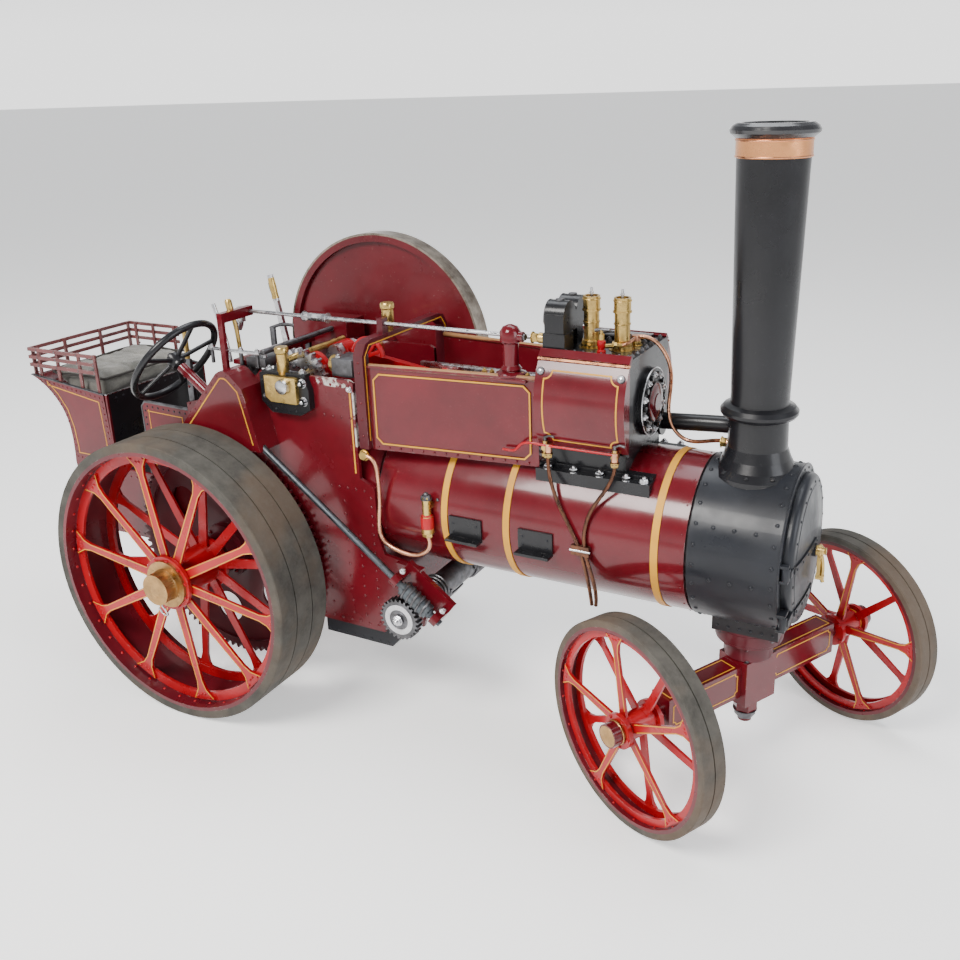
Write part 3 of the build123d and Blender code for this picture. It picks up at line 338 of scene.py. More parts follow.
def pipe_finish():
    """Bright copper, darkened to brown on the drain pipes that hang below the cylinder."""
    s = Shader("pipe_finish", (0.70, 0.32, 0.19), 0.28, metal=1.0)
    front = above(s, 0, RX + 552 * MM)
    outside = s.math("SUBTRACT", 1.0, above(s, 1, -84 * MM))
    low = s.math("SUBTRACT", 1.0, above(s, 2, 466 * MM))
    drain = s.math("MULTIPLY", s.math("MULTIPLY", front, outside), low)
    stain = s.ramp(s.noise(60, 6, 0.65), (0.40, (0, 0, 0)), (0.66, (1, 1, 1)))
    bright = s.mix(s.math("MULTIPLY", stain, 0.5), (0.72, 0.36, 0.22), (0.30, 0.14, 0.09))
    s.color(s.mix(drain, bright, s.mix(stain, (0.17, 0.075, 0.045), (0.07, 0.04, 0.03))))
    s.rough(s.noise(100, 4, 0.6), 0.18, 0.5)
    s.bump(s.noise(500, 3, 0.6), 0.06 * MM, 0.4)
    return s.mat


def flywheel_finish():
    """Maroon faces and a worn bare rim, told apart by distance from the crankshaft."""
    s = Shader("flywheel_finish", (0.14, 0.006, 0.013), 0.3, coat=0.15, spec=0.3)
    dx = s.math("SUBTRACT", s.axis(0), CRANK.x)
    dz = s.math("SUBTRACT", s.axis(2), CRANK.z)
    away = s.math("SQRT", s.math("ADD", s.math("MULTIPLY", dx, dx), s.math("MULTIPLY", dz, dz)))
    rim = s.math("GREATER_THAN", away, 187.5 * MM)
    clouds = s.noise(7, 5, 0.6)
    face = s.ramp(clouds, (0.3, (0.075, 0.003, 0.006)), (0.66, (0.120, 0.005, 0.010)))
    face = s.mix(
        s.math("MULTIPLY", s.ramp(s.noise(200, 4, 0.7), (0.66, (0, 0, 0)), (0.74, (1, 1, 1))), 0.4), face,
        (0.4, 0.3, 0.26),
    )
    bare = s.ramp(s.noise(30, 6, 0.7), (0.35, (0.10, 0.075, 0.055)), (0.65, (0.33, 0.29, 0.24)))
    s.color(s.mix(rim, face, bare))
    s.link(s.math("MULTIPLY", rim, 0.75), s.p.inputs["Metallic"])
    s.rough(s.noise(14, 4, 0.6), 0.24, 0.46)
    s.bump(s.noise(420, 2, 0.5), 0.05 * MM, 0.35)
    return s.mat


MAROON = paint("maroon_gloss", (0.112, 0.0042, 0.0092), (0.072, 0.0022, 0.0052), 0.17, 0.25, 0.30)
MAROON_DARK = paint("maroon_dark", (0.075, 0.004, 0.009), (0.045, 0.002, 0.005), 0.34, 0.12, 0.2)
RAIL_PAINT = paint(
    "rail_brown", (0.16, 0.045, 0.045), (0.075, 0.018, 0.018), 0.42, 0.3, 0.8, (0.5, 0.46, 0.42),
)
RED = paint("red_gloss", (0.38, 0.004, 0.009), (0.24, 0.003, 0.006), 0.28, 0.15, 0.25)
BLACK = paint(
    "black_gloss", (0.009, 0.009, 0.011), (0.005, 0.005, 0.006), 0.26, 0.12, 0.22, (0.16, 0.15, 0.14),
)
BLACK_DULL = paint(
    "black_satin", (0.012, 0.0135, 0.018), (0.007, 0.0075, 0.010), 0.36, 0.06, 0.3, (0.16, 0.14, 0.12),
)
STEEL = metal("bright_steel", (0.58, 0.58, 0.60), 0.22, (0.22, 0.20, 0.18), 0.25)
STEEL_DARK = metal("dark_steel", (0.15, 0.15, 0.16), 0.36, (0.05, 0.045, 0.04), 0.6)
SHAFT = metal("shaft_blued", (0.11, 0.125, 0.14), 0.34, (0.05, 0.045, 0.04), 0.5)
BRASS = metal("brass_aged", (0.58, 0.40, 0.13), 0.26, (0.25, 0.16, 0.06), 0.6)
COPPER = metal("copper_aged", (0.70, 0.32, 0.17), 0.22, (0.30, 0.14, 0.08), 0.5)
IRON = metal("cast_iron", (0.12, 0.12, 0.125), 0.55, (0.05, 0.045, 0.04), 0.6)
GOLD = paint("lining_gold", (0.62, 0.30, 0.025), (0.46, 0.20, 0.015), 0.45, 0.0, 0)
BRASS_OLD = metal("brass_tarnished", (0.42, 0.25, 0.10), 0.34, (0.18, 0.11, 0.05), 0.6)
CAPPING = paint("capping_tan", (0.30, 0.15, 0.055), (0.16, 0.07, 0.03), 0.42, 0.05, 0.2)
CREAM = paint("cream", (0.62, 0.52, 0.36), (0.48, 0.38, 0.25), 0.5, 0.1, 0)
PERCH = two_paints("perch_finish", (0.085, 0.006, 0.012), (0.013, 0.013, 0.015), 2, 226.3 * MM, 0.36)
CAP = cap_finish()
FOOTPLATE = footplate_finish()
HORNPLATE = hornplate_finish()
PIPES = pipe_finish()
FLYWHEEL = flywheel_finish()

Y_AXIS = Vector((0, 1, 0))
AXLE_DIR = Vector((-sin(STEER), cos(STEER), 0))
WHEEL_REAR = wheel_paint("wheel_rear", REAR, Y_AXIS, 208.0 * MM)
FRONT_AXLE = at_front(0, 0, FRONT_AXLE_Z)
WHEEL_FRONT = wheel_paint("wheel_front", FRONT_AXLE, AXLE_DIR, 131.0 * MM)
TYRE_REAR = {}
for side in ("right", "left"):
    middle = centre(f"rear_tyre_{side}")
    TYRE_REAR[side] = rubber(f"tyre_rear_{side}", (0.050, 0.047, 0.040), (-18 * MM, 18 * MM), middle, Y_AXIS)
TYRE_FRONT = rubber("tyre_front", (0.060, 0.055, 0.047), (0.0,), FRONT_AXLE, AXLE_DIR)

FINISH = {
    "boiler_cladding": MAROON, "firebox": MAROON, "hornplate_right": HORNPLATE, "hornplate_left": MAROON,
    "spectacle_plate": MAROON_DARK, "motion_plates": MAROON, "cylinder_cladding": MAROON, "guards": MAROON,
    "tender_body": MAROON, "final_gear": MAROON_DARK, "flywheel": FLYWHEEL, "front_axle": MAROON,
    "tender_rails": RAIL_PAINT, "boiler_bands": GOLD,
    "smokebox": BLACK_DULL, "smokebox_door": BLACK_DULL, "chimney": BLACK, "cylinder_block": BLACK,
    "cylinder_cover": BLACK, "lubricator": BLACK, "crank_brackets": BLACK, "footplate": FOOTPLATE,
    "steering_wheel": BLACK, "steering_bracket": MAROON, "chain_barrel": STEEL_DARK, "perch_bracket": PERCH,
    "boiler_brackets": BLACK, "ashpan": BLACK_DULL, "firehole_door": BLACK_DULL,
    "boiler_barrel": IRON, "fire_tubes": IRON,
    "slide_bars": STEEL, "rear_axle": STEEL, "second_shaft": STEEL_DARK, "crankshaft": STEEL,
    "crosshead": STEEL, "slide_valve": STEEL, "regulator_rod": STEEL, "reversing_lever": STEEL,
    "steering_shaft": SHAFT, "connecting_rod": RED, "eccentric_rod": RED,
    "door_handle": BRASS, "safety_valves": BRASS, "bearing_brasses": BRASS, "oil_cups": BRASS,
    "rear_hub_caps": BRASS_OLD, "clack_valve": BRASS, "chimney_cap": CAP, "copper_pipes": PIPES,
    "rear_wheel_right": WHEEL_REAR, "rear_wheel_left": WHEEL_REAR,
    "front_wheel_right": WHEEL_FRONT, "front_wheel_left": WHEEL_FRONT,
    "rear_tyre_right": TYRE_REAR["right"], "rear_tyre_left": TYRE_REAR["left"],
    "front_tyre_right": TYRE_FRONT, "front_tyre_left": TYRE_FRONT,
    "seat_cushion": CREAM,
}
for name, material in FINISH.items():
    mesh = nodes[name].data
    mesh.materials.clear()
    mesh.materials.append(material)

# ---- Shape builders: everything below is in millimetres until a piece is made -------------------
BASE = Matrix.Translation((RX, 0, 0)) @ Matrix.Scale(MM, 4)
FRONT = Matrix.Translation(KING) @ Matrix.Rotation(STEER, 4, "Z") @ Matrix.Scale(MM, 4)
batches = {}


def batch(name, body, material, slot, place=BASE):
    """The mesh that gathers one named piece's shapes."""
    if name not in batches:
        batches[name] = (bmesh.new(), body, material, slot, place)
    return batches[name][0]


def lathe(bm, origin, axis, profile, seg=16, turn=0.0):
    """Revolves (radius, height) points about an axis; radius 0 closes an end."""
    axis = Vector(axis).normalized()
    u = axis.orthogonal().normalized()
    v = axis.cross(u)
    rings = []
    for r, h in profile:
        base = Vector(origin) + axis * h
        if r < 1e-6:
            rings.append([bm.verts.new(base)])
            continue
        angles = [turn + 2 * pi * i / seg for i in range(seg)]
        rings.append([bm.verts.new(base + (u * cos(a) + v * sin(a)) * r) for a in angles])
    for a, b in zip(rings, rings[1:]):
        for i in range(seg):
            j = (i + 1) % seg
            if len(a) == 1:
                bm.faces.new((a[0], b[i], b[j]))
            elif len(b) == 1:
                bm.faces.new((a[j], a[i], b[0]))
            else:
                bm.faces.new((a[j], a[i], b[i], b[j]))


def rivet(bm, origin, axis, r=2.2, h=None):
    h = h or r * 0.62
    lathe(
        bm, origin, axis,
        [(0, -0.6), (r, -0.6), (r, h * 0.2), (r * 0.8, h * 0.68), (r * 0.42, h * 0.93), (0, h)], 12,
    )


def rod(bm, a, b, r, seg=24, lip=0.5):
    """Round bar from a to b with softened ends."""
    a, b = Vector(a), Vector(b)
    length = (b - a).length
    lip = min(lip, r * 0.3, length * 0.3)
    lathe(
        bm, a, b - a, [(0, 0), (r - lip, 0), (r, lip), (r, length - lip), (r - lip, length), (0, length)],
        seg,
    )


def nut(bm, origin, axis, r=4.5, h=4.0, stud=True, turn=0.0):
    lathe(bm, origin, axis, [(0, -0.4), (r, -0.4), (r, h * 0.8), (r * 0.86, h), (0, h)], 6, turn)
    lathe(bm, origin, axis, [(0, -0.5), (r * 1.15, -0.5), (r * 1.15, 0.5), (0, 0.5)], 20)
    if stud:
        lathe(
            bm, origin, axis,
            [
                (0, h - 1), (r * 0.48, h - 1), (r * 0.48, h + r * 0.34), (r * 0.3, h + r * 0.5),
                (0, h + r * 0.5),
            ],
            14,
        )


def brick(bm, low, high, lip=0.8, turn=None):
    """Box with bevelled edges; turn is an optional matrix."""
    made = bmesh.ops.create_cube(bm, size=1.0)["verts"]
    size = [h - l for l, h in zip(low, high)]
    mid = [(h + l) / 2 for l, h in zip(low, high)]
    for v in made:
        v.co = Vector((v.co.x * size[0] + mid[0], v.co.y * size[1] + mid[1], v.co.z * size[2] + mid[2]))
        if turn:
            v.co = turn @ v.co
    edges = {e for v in made for e in v.link_edges}
    bmesh.ops.bevel(
        bm, geom=list(edges), offset=min(lip, min(size) * 0.3), segments=2, affect="EDGES", profile=0.6,
    )


def slab(bm, outline, place, depth):
    """Plate: a 2D outline put in space by place(u, v) -> (point, normal), grown inwards by depth."""
    front = [bm.verts.new(place(u, v)[0]) for u, v in outline]
    back = [bm.verts.new(place(u, v)[0] - place(u, v)[1] * depth) for u, v in outline]
    bm.faces.new(front)
    bm.faces.new(list(reversed(back)))
    for i in range(len(front)):
        j = (i + 1) % len(front)
        bm.faces.new((front[j], front[i], back[i], back[j]))


def curve_points(points, steps=10):
    """Catmull-Rom curve through the points."""
    points = [Vector(p) for p in points]
    ends = [points[0] * 2 - points[1]] + points + [points[-1] * 2 - points[-2]]
    out = []
    for i in range(1, len(ends) - 2):
        p0, p1, p2, p3 = ends[i - 1 : i + 3]
        for n in range(steps):
            t = n / steps
            out.append(
                0.5 * (
                    2 * p1 + (p2 - p0) * t + (
                        2 * p0 - 5 * p1 + 4 * p2 - p3
                    ) * t * t + (3 * p1 - p0 - 3 * p2 + p3) * t**3
                )
            )
    return out + [points[-1]]


def tube(bm, points, r, seg=12, closed=False, smooth=10):
    line = curve_points(points, smooth) if smooth else [Vector(p) for p in points]
    count = len(line)
    rings = []
    side_dir = None
    for i, p in enumerate(line):
        before = line[i - 1] if i or closed else p
        after = line[(i + 1) % count] if i < count - 1 or closed else p
        along = (after - before).normalized()
        if side_dir is None:
            side_dir = along.orthogonal().normalized()
        side_dir = (side_dir - along * side_dir.dot(along)).normalized()
        other = along.cross(side_dir)
        rings.append(
            [
                bm.verts.new(p + (side_dir * cos(2 * pi * k / seg) + other * sin(2 * pi * k / seg)) * r)
                for k in range(seg)
            ],
        )
    pairs = list(zip(rings, rings[1:])) + ([(rings[-1], rings[0])] if closed else [])
    for a, b in pairs:
        for k in range(seg):
            j = (k + 1) % seg
            bm.faces.new((a[k], a[j], b[j], b[k]))
    if not closed:
        bm.faces.new(list(reversed(rings[0])))
        bm.faces.new(rings[-1])


def strip(bm, stations, width, thick, closed=False):
    """Flat raised line through (point, normal) stations: painted lining, edging and straps."""
    count = len(stations)
    rings = []
    for i, (p, n) in enumerate(stations):
        before = stations[i - 1][0] if i or closed else p
        after = stations[(i + 1) % count][0] if i < count - 1 or closed else p
        d1 = (p - before).normalized() if (p - before).length > 1e-6 else (after - p).normalized()
        d2 = (after - p).normalized() if (after - p).length > 1e-6 else d1
        along = (d1 + d2).normalized()
        across = along.cross(n).normalized()
        stretch = 1 / max(0.5, along.dot(d1))
        h = across * width / 2 * stretch
        rings.append(
            [
                bm.verts.new(p - h - n * 0.3), bm.verts.new(p + h - n * 0.3), bm.verts.new(p + h + n * thick),
                bm.verts.new(p - h + n * thick),
            ],
        )
    pairs = list(zip(rings, rings[1:])) + ([(rings[-1], rings[0])] if closed else [])
    for a, b in pairs:
        for k in range(4):
            j = (k + 1) % 4
            bm.faces.new((a[k], a[j], b[j], b[k]))
    if not closed:
        bm.faces.new(list(reversed(rings[0])))
        bm.faces.new(rings[-1])


def inset(points, d):
    """Closed 2D outline moved inwards by d."""
    area = sum(a[0] * b[1] - b[0] * a[1] for a, b in zip(points, points[1:] + points[:1]))
    sign = 1 if area > 0 else -1
    out = []
    for i, p in enumerate(points):
        a, c = points[i - 1], points[(i + 1) % len(points)]
        d1 = Vector((p[0] - a[0], p[1] - a[1])).normalized()
        d2 = Vector((c[0] - p[0], c[1] - p[1])).normalized()
        n1, n2 = Vector((-d1.y, d1.x)) * sign, Vector((-d2.y, d2.x)) * sign
        m = (n1 + n2).normalized()
        m = m * d / max(0.35, m.dot(n1))
        out.append((p[0] + m.x, p[1] + m.y))
    return out


def spaced(points, pitch, closed=False):
    """2D points an even pitch apart along a broken line."""
    line = [Vector(p) for p in points] + ([Vector(points[0])] if closed else [])
    total = sum((b - a).length for a, b in zip(line, line[1:]))
    count = max(1, round(total / pitch))
    wanted = [total * i / count for i in range(count + (0 if closed else 1))]
    out, run, k = [], 0.0, 0
    for w in wanted:
        while k < len(line) - 2 and run + (line[k + 1] - line[k]).length < w:
            run += (line[k + 1] - line[k]).length
            k += 1
        step = (line[k + 1] - line[k])
        out.append(line[k] + step * ((w - run) / step.length))
    return out


def notched(u0, u1, v0, v1, r, bites=True):
    """Rectangle whose corners are bitten out by quarter circles, or cut off straight."""
    out = []
    for cu, cv, start in ((u0, v0, 90), (u1, v0, 180), (u1, v1, 270), (u0, v1, 0)):
        steps = 6 if bites else 1
        for i in range(steps + 1):
            angle = radians(start - 90 * i / steps)
            out.append((cu + r * cos(angle), cv + r * sin(angle)))
    return out


def wall(s, y):
    """Places (x, z) on a vertical side plane, y away from the middle on side s."""
    return lambda u, v: (Vector((u, s * y, v)), Vector((0, s, 0)))


def facing(x, sign=1):
    """Places (y, z) on a plane across the engine."""
    return lambda u, v: (Vector((x, u, v)), Vector((sign, 0, 0)))


def barrel(r):
    """Places (x, angle from the top in degrees) on the boiler's round surface."""
    return lambda u, v: (
        Vector((u, r * sin(radians(v)), BOILER_Z / MM + r * cos(radians(v)))),
        Vector((0, sin(radians(v)), cos(radians(v)))),
    )


def line_on(bm, points, place, width=1.7, thick=0.22, closed=True):
    strip(bm, [place(u, v) for u, v in points], width, thick, closed)


def rivets_on(bm, points, place, r=2.2, h=None):
    for u, v in points:
        p, n = place(u, v)
        rivet(bm, p, n, r, h)


def circle(count):
    """Angles an even step apart round one turn."""
    return [2 * pi * k / count for k in range(count)]


def flat_strip(bm, points, normal, width, thick, closed=False):
    """Raised strip whose stations all face the same way."""
    strip(bm, [(Vector(p), Vector(normal)) for p in points], width, thick, closed)


def hoop_tube(bm, spot, count, r):
    """Closed round bead through spot(angle)."""
    tube(bm, [spot(t) for t in circle(count)], r, 8, True, 0)


CHASSIS = "chassis"
gold = batch("lining_body", CHASSIS, GOLD, "brass")
maroon_rivets = batch("rivets_maroon", CHASSIS, MAROON, "maroon_paint")
black_rivets = batch("rivets_black", CHASSIS, BLACK_DULL, "black_paint")
black = batch("fittings_black", CHASSIS, BLACK, "black_paint")
steel = batch("fittings_steel", CHASSIS, STEEL, "bright_steel")
dark = batch("fittings_dark", CHASSIS, STEEL_DARK, "dark_iron")
brass = batch("fittings_brass", CHASSIS, BRASS, "brass")
copper = batch("fittings_copper", CHASSIS, COPPER, "copper")
maroon = batch("fittings_maroon", CHASSIS, MAROON, "maroon_paint")
red = batch("fittings_red", CHASSIS, RED, "wheel_red")
brass_edge = batch("edge_capping", CHASSIS, CAPPING, "brass")

# ---- Tender and footplate -----------------------------------------------------------------------
SHEET_SIDE = [
    (-252, 332), (-252, 380), (-256, 458), (
        -425, 476.5,
    ), (-399, 460), (-378, 441), (-362, 418), (-354, 390), (-351, 355), (-352, 332),
]
FOOT_SIDE = [(-164, 332), (-164, 452), (-158, 458), (-64, 455), (-64, 332)]
for s in (-1, 1):
    side = wall(s, 116)
    line_on(gold, inset(SHEET_SIDE, 13), side)
    rivets_on(maroon_rivets, spaced(inset(SHEET_SIDE, 5), 11, True), side, 1.9)
    rivets_on(maroon_rivets, spaced([(-290, 212), (-70, 212), (-70, 318), (-246, 318)], 14), side, 1.9)
    line_on(gold, inset(FOOT_SIDE, 13), side)
    rivets_on(black_rivets, spaced(inset(FOOT_SIDE, 5), 12, True), side, 1.8)
    tube(
        dark, [(-166, s * 114, 332), (-166, s * 114, 452), (-159, s * 114, 460.5), (-62, s * 114, 457.5)],
        2.6, smooth=0,
    )
    flat_strip(dark, [(-430, s * 114, 479), (-254, s * 114, 460)], (0, 0, 1), 6, 0.9)
    for x, z0 in ((-408, 474), (-362, 456), (-308, 450), (-268, 450)):
        if s < 0 or x < -300:
            for z in (497, 511, 525):
                rivet(dark, (x, s * 115, z), (0, s, 0), 1.6)
    rivets_on(maroon_rivets, [(x, 486 if x < -380 else 466) for x in (-408, -362)], side, 1.4)
for y in (-108, -40, 40, 108):
    for z in (497, 511, 525):
        rivet(dark, (-430, y, z), (-1, 0, 0), 1.6)
for y in range(-96, 97, 16):
    rivet(black_rivets, (-247, y, 452), (1, 0, 0), 1.8)
    rivet(black_rivets, (-247, y, 338), (1, 0, 0), 1.8)
flat_strip(steel, [(-249, -116, 461), (-249, 116, 461)], (0, 0, 1), 5, 0.8)
for y in (-70, 0, 70):
    for x in range(-230, -70, 22):
        flat_strip(dark, [(x - 7, y - 26, 330), (x + 7, y + 26, 330)], (0, 0, 1), 2.2, 0.7)
lathe(brass, (-110, 78, 330), (0, 0, 1), [(0, 0), (20, 0), (20, 6), (17, 9), (5, 11), (5, 15), (0, 16)], 32)
REAR_SKIN = [
    (-424, 474), (-404, 465), (-384, 447.5), (-366, 424), (-355, 396), (-350.5, 370), (-351.5, 340),
    (-346, 290), (-341, 250),
]
for y in (-109, 109):
    for (x0, z0), (x1, z1) in zip(REAR_SKIN, REAR_SKIN[1:]):
        n = Vector((-(z0 - z1), 0, x0 - x1)).normalized()
        for t in (0.0, 0.5):
            rivet(maroon_rivets, (x0 + (x1 - x0) * t, y, z0 + (z1 - z0) * t), n, 1.9)
strip(gold, [(Vector((x, -94, z)), Vector((-1, 0, 0.02))) for x, z in ((-349.5, 330), (-344, 262))], 1.7, 2.2)
strip(gold, [(Vector((x, 94, z)), Vector((-1, 0, 0.02))) for x, z in ((-349.5, 330), (-344, 262))], 1.7, 2.2)

# ---- Hornplates, motion plates and hoop ---------------------------------------------------------
for s in (-1, 1):
    side = wall(s, 116)
    rows = [(x, 484) for x in range(214, 264, 16)] + [(x, 532) for x in (212, 230, 248, 262)]
    rows += [(x, 372) for x in range(216, 290, 15)] + [(287, z) for z in range(152, 372, 15)]
    rows += [(238, z) for z in range(160, 366, 21)] + [(262, z) for z in range(160, 300, 17)]
    rows += [(x, 146) for x in range(165, 290, 17)] + [(x, 184) for x in range(-30, 60, 18)]
    rows += [(x, 498) for x in range(-52, 60, 16)] + [(-56, z) for z in range(214, 480, 16)]
    rows += [(200, z) for z in range(170, 360, 26)]
    rivets_on(maroon_rivets, rows, side, 2.3)
    strip(gold, [side(263.5, 524), side(263.5, 398)], 2.6, 0.3)
    nut(steel, (263, s * 116, 528), (0, s, 0), 4.2, 3.6)
    # motion side plates
    a, b = Vector((292, s * 108.4, 0)), Vector((549, s * 81.2, 0))
    out = Vector((a.y - b.y, b.x - a.x, 0)).normalized() * s
    along = (b - a).normalized()

    def motion(u, v, a=a, along=along, out=out):
        return a + along * u + out * 0.12 + Vector((0, 0, v)), out

    reach = (b - a).length
    line_on(gold, notched(9, reach - 11, 448, 553, 9, False), motion, 2.3, 0.3)
    ends = [motion(u, 564.0)[0] - out * 2.6 for u in (2, reach - 1)]
    tube(brass_edge, ends, 3.6, 16, False, 0)
    rivets_on(maroon_rivets, [(u, 442.5) for u in range(10, int(reach) - 6, 18)], motion, 1.7)
    # far inner faces of the motion frame
    inner = lambda u, v, m=motion: (m(u, v)[0] - m(u, v)[1] * 2.2, -m(u, v)[1])
    rivets_on(maroon_rivets, [(u, 556) for u in range(12, int(reach) - 8, 20)], inner, 1.7)

HOOP_LINE = [(-112, 452), (-112, 578), (-100, 593), (100, 593), (112, 578), (112, 452)]
strip(gold, [(Vector((292, y, z)), Vector((1, 0, 0))) for y, z in HOOP_LINE], 1.8, 0.3)
strip(
    gold,
    [(Vector((276, y, z)), Vector((-1, 0, 0))) for y, z in [(-112, 545)] + HOOP_LINE[1:-1] + [(112, 545)]],
    1.8, 0.3,
)
for s in (-1, 1):
    for z in (460, 485, 510):
        rivet(maroon_rivets, (284, s * 118, z), (0, s, 0), 2.1)
    for z in (555, 570):
        rivet(maroon_rivets, (284, s * 118, z), (0, s, 0), 2.0)

# ---- Boiler -------------------------------------------------------------------------------------
clad = barrel(110.5)
for x in (411, 511, 728):
    rivet(dark, (x, 0, BOILER_Z / MM - 116.4), (0, 0, -1), 2.0)
rivets_on(maroon_rivets, [(x, v) for x in (302, 763) for v in range(-170, 180, 20)], clad, 1.4)
for x in (446, 557):
    for dx in (-19, 19):
        rivet(black_rivets, (x + dx, -114, 346), (0, -1, 0), 1.8)
        rivet(black_rivets, (x + dx, -114, 334), (0, -1, 0), 1.8)
for dx, dz in ((-13, 13), (13, 13), (-13, -13), (13, -13)):
    rivet(dark, (386 + dx, -108.6, 362 + dz), (0, -1, 0.1), 2.4)

# smokebox, its rings of rivets and the chimney seat
smoke = barrel(112)
for x, turn in ((779, 0), (880, 7)):
    rivets_on(black_rivets, [(x, v + turn) for v in range(-173, 180, 14)], smoke, 2.8)
for v in (-148, -98, -62, 62, 98, 148):
    rivets_on(black_rivets, [(x, v) for x in (802, CHIMNEY_X, 856)], smoke, 2.8)
tube(
    black_rivets,
    [(888.6, 111.6 * sin(radians(v)), BARREL_Z + 111.6 * cos(radians(v))) for v in range(0, 360, 4)], 1.5, 8,
    True, 0,
)
for n in range(24):
    a = radians(n * 15 + 5)
    if abs(sin(a) + 1) > 0.2:
        rivet(black_rivets, (890, 106.5 * sin(a), BARREL_Z + 106.5 * cos(a)), (1, 0, 0), 1.8)
for n in range(10):
    a = radians(36 * n + 18)
    rivet(black_rivets, (CHIMNEY_X + 44.5 * cos(a), 44.5 * sin(a), 533.2), (0, 0, 1), 2.6)
    nut(black, (CHIMNEY_X + 53.5 * cos(a), 53.5 * sin(a), 454.8), (0, 0, 1), 3.0, 2.6)
for z in range(566, 842, 13):
    r = 37.5 + (z - 556) * 6.5 / 292
    rivet(black_rivets, (CHIMNEY_X + r * cos(2.6), r * sin(2.6), z), (cos(2.6), sin(2.6), 0), 1.5)
for z0, r0 in ((849.5, 45.5), (868.5, 45.5)):
    tube(
        copper, [(CHIMNEY_X + r0 * cos(2 * pi * k / 48), r0 * sin(2 * pi * k / 48), z0) for k in range(48)],
        1.1, 8, True, 0,
    )

# smokebox door
door = batch("door_fittings", "smokebox_door_body", BLACK_DULL, "black_paint")
def door_x(y, z):
    """How far forward the domed door stands at one point."""
    return 909.3 - 6.0 * (hypot(y, z - BARREL_Z) / 93) ** 2


for n in range(20):
    a = radians(18 * n + 9)
    rivet(door, (903.4, 91 * sin(a), BARREL_Z + 91 * cos(a)), (1, 0, 0), 2.0)
for z in (358, 290):
    ends = [y for y in range(-98, 12, 6) if hypot(y, z - BARREL_Z) < 95]
    stations = [(Vector((door_x(y, z) + 0.3, y, z)), Vector((1, 0, 0))) for y in ends]
    strip(door, stations, 9, 2.2)
    for p, n in stations[1::4]:
        rivet(door, p + n * 2.2, n, 2.2)
    brick(door, (893, -106, z - 4.6), (904, ends[0] + 2, z + 4.6), 1.2)
    lathe(
        door, (897, -106, z - 8.6), (0, 0, 1),
        [(0, 0), (4.7, 0), (5.3, 1), (5.3, 16), (4.7, 17.2), (0, 17.2)], 20,
    )
tube(
    door, [(903.5, 86 * sin(radians(v)), BARREL_Z + 86 * cos(radians(v))) for v in range(0, 360, 5)], 1.3, 8,
    True, 0,
)
handle = batch("door_handle_grip", "door_handle_body", BRASS, "brass")
lathe(
    handle, (917, 0, BARREL_Z), (1, 0, 0),
    [(0, 0), (8.5, 0), (8.5, 3), (6, 5), (4, 8), (5.5, 9.4), (3, 10), (0, 10)], 24,
)
tube(handle, [(919, 0, 348), (922, 0, 336), (923.5, 0, 322), (923, 0, 310), (924.5, 0, 304)], 2.6)

# ---- Cylinder -----------------------------------------------------------------------------------
def clad_face(s):
    """Places (x, distance down the curved side) on the cylinder cladding."""
    a, b, c = (78.0, 590.0), (96.0, 532.0), (79.0, 474.0)
    # circle through the three section points
    d = 2 * (a[0] * (b[1] - c[1]) + b[0] * (c[1] - a[1]) + c[0] * (a[1] - b[1]))
    sq = [p[0] ** 2 + p[1] ** 2 for p in (a, b, c)]
    oy = (sq[0] * (b[1] - c[1]) + sq[1] * (c[1] - a[1]) + sq[2] * (a[1] - b[1])) / d
    oz = (sq[0] * (c[0] - b[0]) + sq[1] * (a[0] - c[0]) + sq[2] * (b[0] - a[0])) / d
    radius = hypot(a[0] - oy, a[1] - oz)

    def place(u, v):
        t = (v - oz) / radius
        y = oy + radius * sqrt(max(0.0, 1 - t * t))
        return Vector((u, s * y, v)), Vector((0, s * (y - oy) / radius, t))

    return place


for s in (-1, 1):
    face = clad_face(s)
    points = []
    outline = notched(563, 668, 483, 580, 11)
    for (u0, v0), (u1, v1) in zip(outline, outline[1:] + outline[:1]):
        steps = max(1, int(abs(v1 - v0) / 6))
        points += [(u0 + (u1 - u0) * k / steps, v0 + (v1 - v0) * k / steps) for k in range(steps)]
    line_on(gold, points, face, 2.1, 0.3)
    for x in (557, 671):
        p, n = face(x, 578)
        lathe(dark, p, n, [(0, -1), (5.4, -1), (5.4, 1.6), (4.4, 2.8), (0, 3.0)], 24)
        lathe(steel, p, n, [(0, 2.6), (2.5, 2.6), (2.5, 3.6), (0, 4.4)], 6)
    flat_strip(copper, [(549, s * 77.2, 592.8), (680, s * 77.2, 592.8)], (0, s * 0.75, 0.66), 3.4, 1.0)
    flat_strip(maroon, [(550, s * 72.5, 600.2), (679, s * 72.5, 600.2)], (0, s * 0.75, 0.66), 12, 1.2)
    for n in range(10):
        nut(dark, (558 + 12.6 * n, s * 62, 600.2), (0, 0, 1), 3.1, 3.0)
    for x in (562, 600, 638, 676, 701):
        nut(steel, (x, s * 77, 438.6), (0, 0, 1), 6.0, 5.2)
    # drain cocks under the cylinder
    for x in (563, 664):
        rod(brass, (x, s * 80, 472), (x, s * 92, 472), 4.4)
        nut(brass, (x, s * 88, 464), (0, 0, -1), 4.6, 5)
        rod(brass, (x, s * 88, 462), (x, s * 88, 482), 3.4)
        rod(dark, (x, s * 88, 480), (x, s * 88, 488), 2.0)
        tube(dark, [(x, s * 88, 486), (x + 7, s * 90, 490), (x + 15, s * 91, 489)], 1.6)
    tube(
        red,
        [
            (500, s * 92, 462), (518, s * 92.5, 463), (530, s * 92.5, 474), (545, s * 92, 477),
            (566, s * 91, 476), (664, s * 91, 476),
        ],
        1.8,
    )
